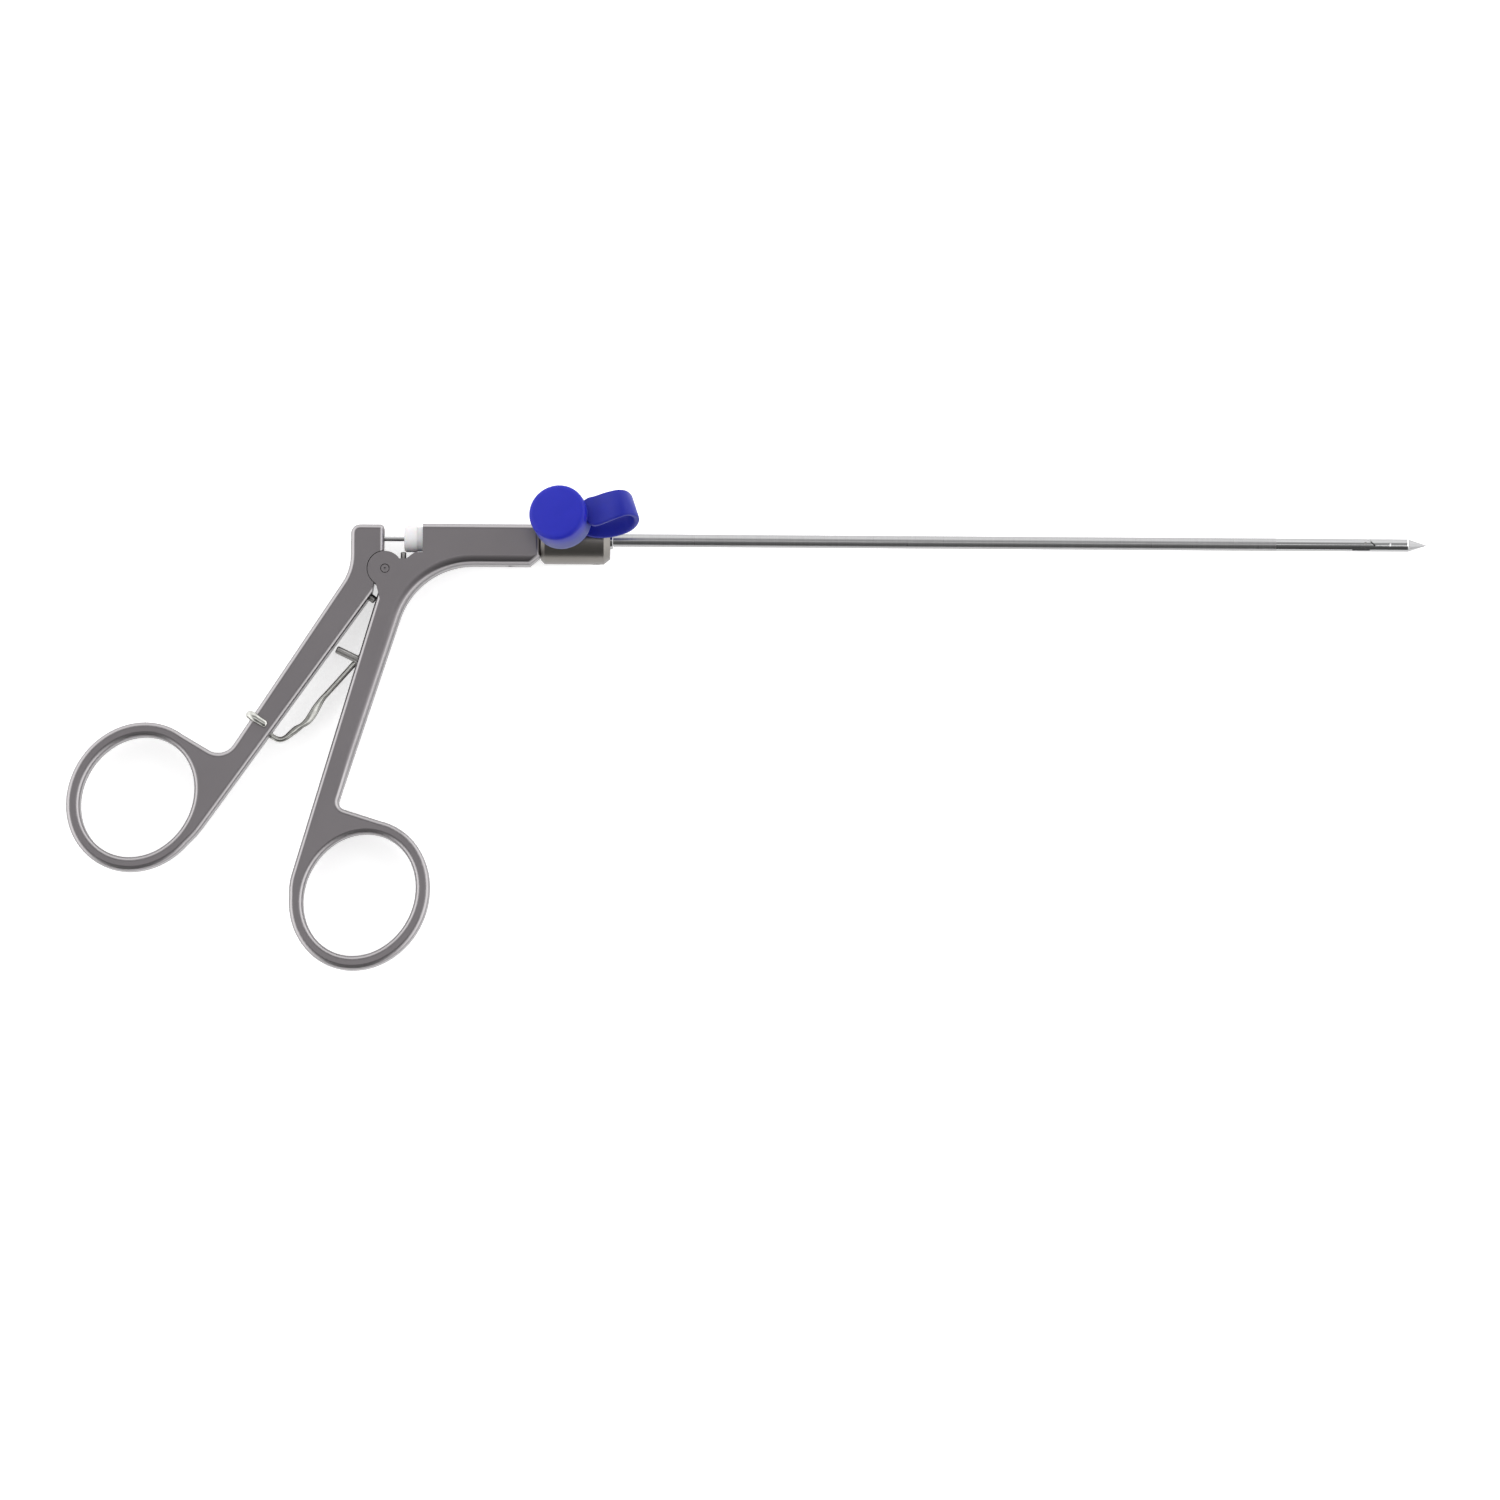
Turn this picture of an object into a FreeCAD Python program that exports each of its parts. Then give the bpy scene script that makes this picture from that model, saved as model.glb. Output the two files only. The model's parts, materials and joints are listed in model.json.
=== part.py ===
import FreeCAD, Part
import math
import os
import re
import Sketcher

# Fascial closure instrument: two ring handles with a box hinge, a long tube with a pull rod inside it, a pierced
# cone at the far end with a small jaw behind it, and a flushing port with a cap on a strap.
#
# Frame: millimetres. The origin lies on the tube's axis, where the tube leaves its collar. +X runs along the
# tube to the point, +Y points away from the finger rings, and +Z points up from the surface that the
# instrument lies on.

V = FreeCAD.Vector
ALONG_X = FreeCAD.Rotation(V(0, 1, 0), 90)
ALONG_Y = FreeCAD.Rotation(V(1, 0, 0), -90)
UPRIGHT = FreeCAD.Rotation()

# Two places nearer than this count as one.
NEAR = 1e-4

SIZES = [
    ("tube_length", 138.5, "matt tube in front of the collar"),
    ("tube_radius", 1.35, "outside of the tube"),
    ("tube_bore", 1.05, "inside of the tube"),
    ("tube_seat", 1.18, "outside of the tube's end in its collar"),
    ("tube_back", 9.0, "tube's hidden length behind the collar's face"),
    ("shoulder_gap", 0.1, "gap between the collar's face and the tube's shoulder"),
    ("rod_radius", 0.5, "pull rod"),
    ("fit_gap", 0.02, "radial clearance of a fixed fit"),
    ("run_gap", 0.05, "radial clearance of a running fit"),
    ("soft_gap", 0.05, "clearance around the soft pieces"),
    ("plate", 7.0, "thickness of both handles"),
    ("edge_round", 1.0, "rounding along the handles' edges"),
    ("pivot_back", 47.65, "hinge pin behind the collar's face"),
    ("pivot_drop", 6.45, "hinge pin under the tube's axis"),
    ("pivot_radius", 0.95, "hinge pin"),
    ("pin_centre", 0.25, "centre mark in the hinge pin"),
    ("pin_chamfer", 0.15, "small chamfer on the pins and the collar"),
    ("boss_radius", 3.65, "round cheeks of the hinge"),
    ("boss_gap", 0.15, "gap between the cheeks and the lever's recess"),
    ("tongue_radius", 3.2, "hinge tongue"),
    ("tongue_gap", 0.3, "gap around the tongue's end"),
    ("slot_mouth", 0.7, "how far the hinge slot's mouth reaches past the cheeks"),
    ("tongue_plate", 2.4, "thickness of the hinge tongue"),
    ("cheek_gap", 0.1, "gap on each side of the tongue"),
    ("barrel_back", 39.8, "back face of the barrel behind the collar's face"),
    ("barrel_front", 15.2, "front face of the barrel behind the collar's face"),
    ("barrel_top", 3.0, "top of the barrel above the axis"),
    ("barrel_low", 5.55, "underside of the barrel under the axis"),
    ("nose_long", 2.2, "slanted lower corner at the barrel's front, along X"),
    ("nose_high", 1.9, "slanted lower corner at the barrel's front, along Y"),
    ("notch_floor", 4.35, "floor of the notch under the nut, under the axis"),
    ("notch_lip", 3.0, "upper end of the notch's slope under the axis"),
    ("notch_back", 44.6, "back end of the notch's floor"),
    ("notch_front", 43.2, "front end of the notch's floor"),
    ("notch_top", 41.4, "upper end of the notch's slope"),
    ("neck_x", 40.83, "inner corner of barrel and front shank behind the collar's face"),
    ("neck_round", 16.0, "large curve from the barrel into the front shank"),
    ("front_back_x", 49.05, "upper end of the front shank's back edge"),
    ("front_back_y", 11.4, "upper end of the front shank's back edge under the axis"),
    ("front_heel_x", 49.6, "where the front shank's back edge meets the cheeks"),
    ("front_heel_y", 9.3, "where the front shank's back edge meets the cheeks, under the axis"),
    ("front_ring_x", 52.42, "centre of the finger ring behind the collar's face"),
    ("front_ring_y", 74.66, "centre of the finger ring under the axis"),
    ("ring_long", 13.15, "half the long width of a ring's hole"),
    ("ring_short", 11.35, "half the short width of a ring's hole"),
    ("ring_band", 2.9, "width of a ring's band"),
    ("front_ring_turn", 62.5, "direction of the finger ring's long width, in degrees from X"),
    ("rear_ring_turn", 56.8, "direction of the thumb ring's long width, in degrees from X"),
    ("front_web_turn", 9.33, "place where the front web leaves the ring, in degrees round the oval"),
    ("front_web_long", 10.65, "length of the front web"),
    ("front_kink_y", 2.4, "end of the front shank's straight back edge above the ring's centre"),
    ("front_root_round", 1.6, "corner between the front shank and its ring"),
    ("front_back_round", 12.0, "curve from the front shank's back edge into its ring"),
    ("rear_ring_x", 98.91, "centre of the thumb ring behind the collar's face"),
    ("rear_ring_y", 54.5, "centre of the thumb ring under the axis"),
    ("lever_back", 54.8, "back edge of the lever behind the collar's face"),
    ("lever_front", 47.9, "front edge of the lever behind the collar's face"),
    ("lever_top", 2.8, "top of the lever above the axis"),
    ("lever_round_back", 1.9, "upper back corner of the lever"),
    ("lever_round_front", 0.8, "upper front corner of the lever"),
    ("lever_bend", 6.81, "bend in the lever's back edge under the axis"),
    ("lever_bend_round", 10.4, "curve of the lever's back edge"),
    ("rear_front_x", 50.36, "upper end of the rear shank's front edge"),
    ("rear_front_y", 11.8, "upper end of the rear shank's front edge under the axis"),
    ("rear_heel_x", 49.6, "corner of the lever beside the hinge pin"),
    ("rear_root_round", 3.8, "corner between the rear shank and its ring"),
    ("rear_web_turn", 2.0, "place where the rear web leaves the ring, in degrees round the oval"),
    ("rear_web_long", 11.2, "length of the rear web"),
    ("rear_foot_x", 12.61, "foot of the rear shank's front edge, in front of the ring's centre"),
    ("rear_foot_y", 7.6, "foot of the rear shank's front edge, under the ring's centre"),
    ("rear_foot_round", 20.0, "curve from the rear shank's front edge into its ring"),
    ("rear_side_turn", -103.8, "place where the front edge meets the thumb ring, in degrees round the oval"),
    ("ball_back", 50.3, "centre of the rod's ball behind the collar's face"),
    ("ball_radius", 1.0, "ball at the back of the rod"),
    ("ball_gap", 0.1, "clearance of the ball in the lever"),
    ("neck_slot", 1.4, "slot in the lever for the rod"),
    ("socket_floor", 1.6, "floor of the ball's socket under the axis"),
    ("nut_radius", 2.75, "white nut"),
    ("nut_back", 43.7, "back face of the nut behind the collar's face"),
    ("nut_step", 1.2, "length of the nut's narrower front part"),
    ("nut_step_drop", 0.15, "how much narrower the nut's front part is"),
    ("nut_round", 0.6, "rounding of the nut's back edge"),
    ("gland_radius", 1.85, "nut's shank and the seal in front of it"),
    ("nut_shank", 3.6, "length of the nut's shank in the barrel"),
    ("seal_length", 2.5, "rod seal"),
    ("barrel_bore", 1.0, "bore of the barrel and the housing around the rod"),
    ("spigot_radius", 2.2, "housing's spigot in the barrel"),
    ("spigot_length", 9.3, "housing's spigot in the barrel"),
    ("groove_back", 18.8, "back wall of the sealing ring's groove"),
    ("groove_width", 0.6, "sealing ring's groove"),
    ("groove_depth", 0.48, "sealing ring's groove"),
    ("ring_section", 0.23, "half the thickness of the sealing ring"),
    ("housing_radius", 5.1, "connector housing"),
    ("housing_front", 0.7, "front face of the housing behind the collar's face"),
    ("housing_chamfer", 0.8, "chamfer at the housing's back"),
    ("housing_bevel_long", 1.3, "bevel at the housing's front, along the axis"),
    ("housing_bevel_high", 1.1, "bevel at the housing's front, across the axis"),
    ("joint_gap", 0.05, "gap between the barrel and the housing"),
    ("chamber_radius", 1.6, "flushing chamber in the housing"),
    ("chamber_back", 13.0, "back end of the flushing chamber"),
    ("collar_radius", 1.9, "tube's collar"),
    ("collar_length", 6.5, "tube's collar"),
    ("barrel_screw_x", 21.6, "set screw under the barrel"),
    ("barrel_screw_radius", 1.0, "set screw under the barrel"),
    ("housing_screw_x", 3.6, "set screw under the housing"),
    ("housing_screw_radius", 0.8, "set screw under the housing"),
    ("screw_sink", 0.6, "how far the set screws lie under the surface"),
    ("post_radius", 0.82, "stop post"),
    ("post_x", 53.16, "stop post's root behind the collar's face"),
    ("post_y", 25.39, "stop post's root under the axis"),
    ("post_turn", 154.6, "direction of the stop post, in degrees from X"),
    ("post_length", 5.05, "stop post in front of its shank"),
    ("post_seat", 2.0, "stop post inside its shank"),
    ("post_chamfer", 0.2, "stop post's end"),
    ("limit_radius", 0.8, "limit screw"),
    ("limit_turn", -35.6, "direction of the limit screw, in degrees from X"),
    ("limit_y", 12.28, "limit screw on the rear shank's front edge under the axis"),
    ("limit_length", 1.2, "limit screw in front of its shank"),
    ("limit_seat", 2.5, "limit screw inside its shank"),
    ("peg_radius", 0.6, "peg in the notch"),
    ("peg_x", 43.9, "peg in the notch behind the collar's face"),
    ("peg_top", 2.75, "top of the peg under the axis"),
    ("peg_seat", 0.5, "peg's length in the handle"),
    ("wire_radius", 0.62, "closing spring's wire"),
    ("wire_level", 1.5, "spring's plane under the middle of the handles"),
    ("wire_root_x", 52.2, "spring's end in the front shank, behind the collar's face"),
    ("wire_root_y", 25.7, "spring's end in the front shank, under the axis"),
    ("wire_entry_x", 71.3, "spring where it enters the rear shank"),
    ("wire_entry_y", 40.9, "spring where it enters the rear shank"),
    ("wire_exit_x", 75.6, "spring's hook behind the rear shank"),
    ("wire_exit_y", 37.0, "spring's hook behind the rear shank"),
    ("spring_knee_x", 60.64, "first bend of the spring behind the collar's face"),
    ("spring_knee_y", 31.7, "first bend of the spring under the axis"),
    ("spring_bend_x", 65.18, "second bend of the spring behind the collar's face"),
    ("spring_bend_y", 39.04, "second bend of the spring under the axis"),
    ("spring_foot_x", 68.3, "last bend of the spring before the rear shank, behind the collar's face"),
    ("spring_foot_y", 42.2, "last bend of the spring before the rear shank, under the axis"),
    ("wire_end_x", 72.5, "spring's end on the rear shank's face"),
    ("wire_end_y", 39.8, "spring's end on the rear shank's face"),
    ("tip_bore", 1.03, "bore of the tip"),
    ("tip_length", 31.5, "polished tip with its point"),
    ("cone_length", 3.95, "point"),
    ("cone_end", 0.03, "radius left at the point"),
    ("bore_front", 11.1, "front end of the tip's bore behind the point"),
    ("jaw_back", 12.85, "jaw pin behind the point"),
    ("jaw_rise", 0.3, "jaw pin above the axis"),
    ("jaw_pin_radius", 0.28, "jaw pin"),
    ("jaw_hub", 0.48, "hub of the jaw's tang"),
    ("jaw_open", 55.0, "opening angle of the jaw in degrees"),
    ("link_arm", 0.85, "distance from the jaw pin to the link pin"),
    ("link_radius", 0.25, "link pin"),
    ("link_hub", 0.38, "end of the jaw's tang around the link pin"),
    ("tang_plate", 0.36, "thickness of the jaw's tang"),
    ("tang_gap", 0.07, "gap on each side of the tang"),
    ("jaw_front", 4.1, "front end of the jaw behind the point"),
    ("nose_gap", 0.4, "gap between the jaw and the cone's shoulder"),
    ("seam_drop", 0.2, "flat face of the jaw under the axis"),
    ("seam_gap", 0.08, "gap between the closed jaw and its seat"),
    ("heel_back", 12.4, "slanted heel's upper end behind the point"),
    ("heel_gap", 0.24, "gap at the slanted heel, along the axis"),
    ("stitch_back", 7.63, "suture notch behind the point"),
    ("stitch_width", 0.3, "suture notch"),
    ("stitch_depth", 0.5, "suture notch"),
    ("driver_radius", 0.98, "forked driver on the rod"),
    ("driver_length", 3.9, "forked driver on the rod"),
    ("driver_lip", 0.42, "driver in front of the link pin"),
    ("driver_flat", 0.05, "flat of the fork under the jaw pin"),
    ("driver_milled", 1.1, "milled length of the fork"),
    ("driver_seat", 2.0, "rod's length in the driver"),
    ("flat_back", 15.6, "back end of the tip's two flats behind the point"),
    ("flat_front", 11.9, "front end of the tip's two flats behind the point"),
    ("flat_level", 1.27, "distance of the flats from the axis"),
    ("flat_turn", 130.0, "direction of the flats round the axis, in degrees from +Y"),
    ("port_back", 8.0, "flushing port behind the collar's face"),
    ("port_tilt", 17.4, "lean of the flushing port in degrees"),
    ("port_turn", 129.8, "direction of the port's lean, in degrees from X"),
    ("port_radius", 2.6, "port's neck"),
    ("port_bore", 1.2, "port's bore"),
    ("port_root", 2.7, "port's root above the tube's axis"),
    ("port_head", 9.5, "start of the port's head"),
    ("port_head_radius", 3.0, "port's head"),
    ("port_mouth", 2.13, "port's mouth"),
    ("port_top", 16.6, "port's mouth above the tube's axis"),
    ("luer_taper", 0.03, "narrowing of the port's mouth for each millimetre of depth"),
    ("lug_radius", 3.9, "lugs of the port's mouth"),
    ("lug_height", 1.4, "lugs of the port's mouth"),
    ("cap_radius", 6.05, "sealing cap"),
    ("cap_low", 12.9, "open rim of the cap"),
    ("cap_top", 18.9, "closed face of the cap"),
    ("cap_wall_top", 2.0, "thickness of the cap's closed face"),
    ("cap_cavity", 4.15, "hollow of the cap"),
    ("cap_plug", 1.8, "plug inside the cap"),
    ("cap_plug_length", 3.2, "plug inside the cap"),
    ("cap_round", 0.7, "rounding of the cap's face"),
    ("eyelet_low", 6.9, "strap's eyelet on the port's neck"),
    ("eyelet_height", 1.5, "strap's eyelet"),
    ("eyelet_radius", 4.45, "strap's eyelet"),
    ("strap_width", 5.0, "strap"),
    ("strap_plate", 1.2, "thickness of the strap"),
    ("strap_turn", 10.0, "direction of the strap around the port, in degrees"),
    ("strap_reach", 15.3, "far end of the strap's loop from the port's axis"),
    ("strap_bulge", 1.6, "how far the loop rises above the strap's root"),
    ("strap_root", 15.6, "strap's height at the cap"),
]

doc = FreeCAD.newDocument("fascial_closure_instrument")
sheet = doc.addObject("Spreadsheet::Sheet", "Sizes")
for row, (alias, number, meaning) in enumerate(SIZES, start=1):
    sheet.set("A%d" % row, meaning)
    sheet.set("B%d" % row, str(number))
    sheet.setAlias("B%d" % row, alias)
doc.recompute()
ALIASES = {alias for alias, number, meaning in SIZES}
SUBPARTS = []


def formula(text):
    """The text with each size's name written as the sheet's own cell."""
    return re.sub(r"[a-z_]+", lambda word: "Sizes." + word[0] if word[0] in ALIASES else word[0], text)


def value(text):
    """The number that a formula gives now."""
    return float(sheet.evalExpression(formula(text)))


def bind(thing, **links):
    """Ties properties to formulas; two underscores in a keyword stand for a dot."""
    for name, text in links.items():
        thing.setExpression(name.replace("__", "."), formula(text))


def place(thing, x="0", y="0", z="0", turn=UPRIGHT, slot="Placement"):
    """Puts a thing at a bound point with a fixed rotation."""
    setattr(thing, slot, FreeCAD.Placement(V(value(x), value(y), value(z)), turn))
    bind(thing, **{slot + "__Base__x": x, slot + "__Base__y": y, slot + "__Base__z": z})


def finished(thing, label):
    """Names a sub-part and lists it for the checks and the export."""
    thing.Label = label
    SUBPARTS.append(thing)
    return thing


def new_body(label):
    return finished(doc.addObject("PartDesign::Body", label), label)


def new_sketch(body, name, role="XY_Plane"):
    sketch = body.newObject("Sketcher::SketchObject", body.Name + "_" + name)
    plane = [item for item in body.Origin.OriginFeatures if item.Role == role][0]
    sketch.AttachmentSupport = [(plane, "")]
    sketch.MapMode = "FlatFace"
    return sketch


def held(sketch, kind, places, text):
    """Adds one dimension to a sketch and ties it to a formula."""
    index = sketch.addConstraint(Sketcher.Constraint(kind, *places, value(text)))
    sketch.setExpression("Constraints[%d]" % index, formula(text))


def outline(sketch, corners):
    """A closed outline of straight runs, each corner held by its distances from the origin."""
    points = [V(value(x), value(y), 0) for x, y in corners]
    count = len(points)
    first = sketch.GeometryCount
    for i in range(count):
        sketch.addGeometry(Part.LineSegment(points[i], points[(i + 1) % count]), False)
    for i in range(count):
        sketch.addConstraint(Sketcher.Constraint("Coincident", first + i, 2, first + (i + 1) % count, 1))
    for i, (x, y) in enumerate(corners):
        held(sketch, "DistanceX", (-1, 1, first + i, 1), x)
        held(sketch, "DistanceY", (-1, 1, first + i, 1), y)
    return sketch


def circle(sketch, x, y, radius):
    number = sketch.addGeometry(Part.Circle(V(value(x), value(y), 0), V(0, 0, 1), value(radius)), False)
    held(sketch, "DistanceX", (-1, 1, number, 3), x)
    held(sketch, "DistanceY", (-1, 1, number, 3), y)
    held(sketch, "Radius", (number,), radius)
    return sketch


def oval(sketch, x, y, long_half, short_half, turn):
    """An ellipse with its centre, both widths and the direction of its long width held."""
    shape = Part.Ellipse(V(0, 0, 0), value(long_half), value(short_half))
    shape.rotate(FreeCAD.Placement(V(0, 0, 0), FreeCAD.Rotation(V(0, 0, 1), value(turn))))
    shape.Center = V(value(x), value(y), 0)
    number = sketch.addGeometry(shape, False)
    sketch.exposeInternalGeometry(number)
    held(sketch, "DistanceX", (-1, 1, number, 3), x)
    held(sketch, "DistanceY", (-1, 1, number, 3), y)
    held(sketch, "Distance", (number + 1,), "2 * (" + long_half + ")")
    held(sketch, "Distance", (number + 2,), "2 * (" + short_half + ")")
    angle = sketch.addConstraint(Sketcher.Constraint("Angle", number + 1, math.radians(value(turn))))
    sketch.setExpression("Constraints[%d]" % angle, formula(turn))
    return sketch


def sound(feature):
    """The feature, once it is known to have a valid shape."""
    doc.recompute()
    if "Invalid" in feature.State or "Error" in feature.State or not feature.Shape.isValid():
        raise ValueError(feature.Name + " has no valid shape")
    return feature


def pad(body, name, sketch, length):
    """Grows a sketch to both sides of its plane."""
    feature = body.newObject("PartDesign::Pad", body.Name + "_" + name)
    feature.Profile = sketch
    feature.Midplane = True
    bind(feature, Length=length)
    return sound(feature)


def cut_through(body, name, sketch, length):
    """Removes a sketch to both sides of its plane and makes sure that something went."""
    before = body.Shape.Volume
    feature = body.newObject("PartDesign::Pocket", body.Name + "_" + name)
    feature.Profile = sketch
    feature.Midplane = True
    bind(feature, Length=length)
    sound(feature)
    if not feature.Shape.Volume < before:
        raise ValueError(feature.Name + " removes nothing")
    return feature


def turned(body, name, corners, role="XY_Plane", axis="H_Axis"):
    """A turned form: its half section goes once around the axis."""
    sketch = outline(new_sketch(body, name + "_section", role), corners)
    feature = body.newObject("PartDesign::Revolution", body.Name + "_" + name)
    feature.Profile = sketch
    feature.ReferenceAxis = (sketch, [axis])
    feature.Angle = 360
    return sound(feature)


def drill(body, name, radius, depth, x, y, z, turn):
    """A round hole that starts at a bound point and runs along the rotation's own Z."""
    before = body.Shape.Volume
    feature = body.newObject("PartDesign::SubtractiveCylinder", body.Name + "_" + name)
    plane = [item for item in body.Origin.OriginFeatures if item.Role == "XY_Plane"][0]
    feature.AttachmentSupport = [(plane, "")]
    feature.MapMode = "FlatFace"
    bind(feature, Radius=radius, Height=depth)
    place(feature, x, y, z, turn, "AttachmentOffset")
    sound(feature)
    if not feature.Shape.Volume < before:
        raise ValueError(feature.Name + " removes nothing")
    return feature


def mill(body, name, length, width, height, x, turn, level):
    """A flat along X: what lies past a level across the axis goes, in a direction round the axis."""
    before = body.Shape.Volume
    feature = body.newObject("PartDesign::SubtractiveBox", body.Name + "_" + name)
    plane = [item for item in body.Origin.OriginFeatures if item.Role == "XY_Plane"][0]
    feature.AttachmentSupport = [(plane, "")]
    feature.MapMode = "FlatFace"
    bind(feature, Length=length, Width=height, Height=width)
    corner = turn.multVec(V(0, value(level), -value(width) / 2))
    feature.AttachmentOffset = FreeCAD.Placement(V(value(x), corner.y, corner.z), turn)
    sound(feature)
    if not feature.Shape.Volume < before:
        raise ValueError(feature.Name + " removes nothing")
    return feature


def soften(body, name, kind, edges, size):
    """A fillet or chamfer on the named edges of the body's last feature."""
    base = body.Tip
    feature = body.newObject("PartDesign::" + kind, body.Name + "_" + name)
    feature.Base = (base, edges)
    bind(feature, **{"Radius" if kind == "Fillet" else "Size": size})
    return sound(feature)


def upright_edge(shape, x, y):
    """The name of the edge along Z that stands nearest to a point."""
    best = None
    for number, edge in enumerate(shape.Edges, start=1):
        first = edge.Vertexes[0].Point
        last = edge.Vertexes[-1].Point
        if abs(first.x - last.x) > NEAR or abs(first.y - last.y) > NEAR or abs(first.z - last.z) < NEAR:
            continue
        distance = (first.x - value(x)) ** 2 + (first.y - value(y)) ** 2
        if best is None or distance < best[0]:
            best = (distance, "Edge%d" % number)
    return best[1]


def edges_at_level(shape, level, keep=lambda middle: True):
    """The names of the edges that lie in both faces at plus and minus a level along Z."""
    names = []
    for number, edge in enumerate(shape.Edges, start=1):
        box = edge.BoundBox
        if box.ZLength < NEAR and abs(abs(box.ZMin) - level) < NEAR:
            if keep(edge.valueAt((edge.FirstParameter + edge.LastParameter) / 2)):
                names.append("Edge%d" % number)
    return names


def round_edges(shape, x=None, radius=None):
    """The names of the round edges at a place along the axis, of a radius, or both."""
    names = []
    for number, edge in enumerate(shape.Edges, start=1):
        curve = edge.Curve
        if not isinstance(curve, Part.Circle):
            continue
        if x is not None and abs(curve.Center.x - value(x)) > NEAR:
            continue
        if radius is not None and abs(curve.Radius - value(radius)) > NEAR:
            continue
        names.append("Edge%d" % number)
    return names


def rod_piece(name, radius, start, length, turn=ALONG_X, y="0", z="0"):
    """A plain round bar that starts at a bound point."""
    bar = doc.addObject("Part::Cylinder", name)
    bind(bar, Radius=radius, Height=length)
    place(bar, start, y, z, turn)
    return bar


def without(name, base, tool):
    """The base with the tool taken away."""
    result = doc.addObject("Part::Cut", name)
    result.Base = base
    result.Tool = tool
    doc.recompute()
    return result


# The numbers that the round edges of a plain bar have.
START = 2
END = 3


def chamfered(name, base, edges, size):
    """A copy of a plain bar with small chamfers on the numbered edges."""
    result = doc.addObject("Part::Chamfer", name)
    result.Base = base
    result.Edges = [(edge, value(size), value(size)) for edge in edges]
    doc.recompute()
    return result


def direction(angle):
    """A rotation that lays its own Z along a direction in the XY plane, given in degrees from X."""
    return FreeCAD.Rotation(V(0, 0, 1), value(angle)).multiply(ALONG_X)


def towards(x, y):
    """A rotation that lays its own Z along the XY plane by two steps, given as formulas."""
    angle = math.degrees(math.atan2(value(y), value(x)))
    return FreeCAD.Rotation(V(0, 0, 1), angle).multiply(ALONG_X)


def smooth_path(points, radii):
    """Straight runs joined by tangent arcs, one radius for each inner point."""
    edges = []
    start = points[0]
    for before, corner, after, radius in zip(points, points[1:], points[2:], radii):
        back = (before - corner).normalize()
        ahead = (after - corner).normalize()
        reach = radius / math.tan(back.getAngle(ahead) / 2)
        entry = corner + back * reach
        leave = corner + ahead * reach
        middle = (back + ahead).normalize()
        centre = corner + middle * math.hypot(radius, reach)
        edges.append(Part.LineSegment(start, entry).toShape())
        edges.append(Part.Arc(entry, centre - middle * radius, leave).toShape())
        start = leave
    edges.append(Part.LineSegment(start, points[-1]).toShape())
    return Part.Wire(edges)


# Places that several pieces share, as formulas of the sizes.
PIVOT = ("-pivot_back", "-pivot_drop")
FRONT_RING = ("-front_ring_x", "-front_ring_y")
REAR_RING = ("-rear_ring_x", "-rear_ring_y")
BARREL_BACK = "-barrel_back"
BARREL_FRONT = "-barrel_front"
TIP_END = "tube_length + tip_length"
JAW_X = "(tube_length + tip_length - jaw_back)"
LINK_X = "(tube_length + tip_length - jaw_back - link_arm * sin(jaw_open / 2))"
LINK_Y = "(jaw_rise - link_arm * cos(jaw_open / 2))"
DRIVER_BACK = "(" + LINK_X + " + driver_lip - driver_length)"
LIMIT_Y = "-limit_y"
LIMIT_SHARE = "(limit_y - rear_front_y) / (rear_ring_y + rear_foot_y - rear_front_y)"
LIMIT_X = "(-rear_front_x - (rear_ring_x - rear_foot_x - rear_front_x) * " + LIMIT_SHARE + ")"


def in_ring(x, y, turn, along, across):
    """The formulas of a point given along and across a ring's long width from its centre."""
    return (
        x + " + (" + along + ") * cos(" + turn + ") - (" + across + ") * sin(" + turn + ")",
        y + " + (" + along + ") * sin(" + turn + ") + (" + across + ") * cos(" + turn + ")",
    )


def ring_point(x, y, turn, place_round):
    """A point just inside a ring's outer edge, at a place in degrees round the oval."""
    along = "(ring_long + ring_band - soft_gap) * cos(" + place_round + ")"
    across = "(ring_short + ring_band - soft_gap) * sin(" + place_round + ")"
    return in_ring(x, y, turn, along, across)


def web_corner(x, y, turn, place_round, length):
    """The far corner of a web that leaves a ring's outer edge along its tangent.

    A length above zero leads clockwise from the ring, one below zero the other way.
    """
    along = "(ring_long + ring_band) * cos(" + place_round + ")"
    across = "(ring_short + ring_band) * sin(" + place_round + ")"
    step_along = "((ring_long + ring_band) * sin(" + place_round + "))"
    step_across = "(-(ring_short + ring_band) * cos(" + place_round + "))"
    step = "(" + length + " / sqrt(" + step_along + " ^ 2 + " + step_across + " ^ 2))"
    far_along = along + " + " + step_along + " * " + step
    far_across = across + " + " + step_across + " * " + step
    return in_ring(x, y, turn, far_along, far_across)


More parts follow.
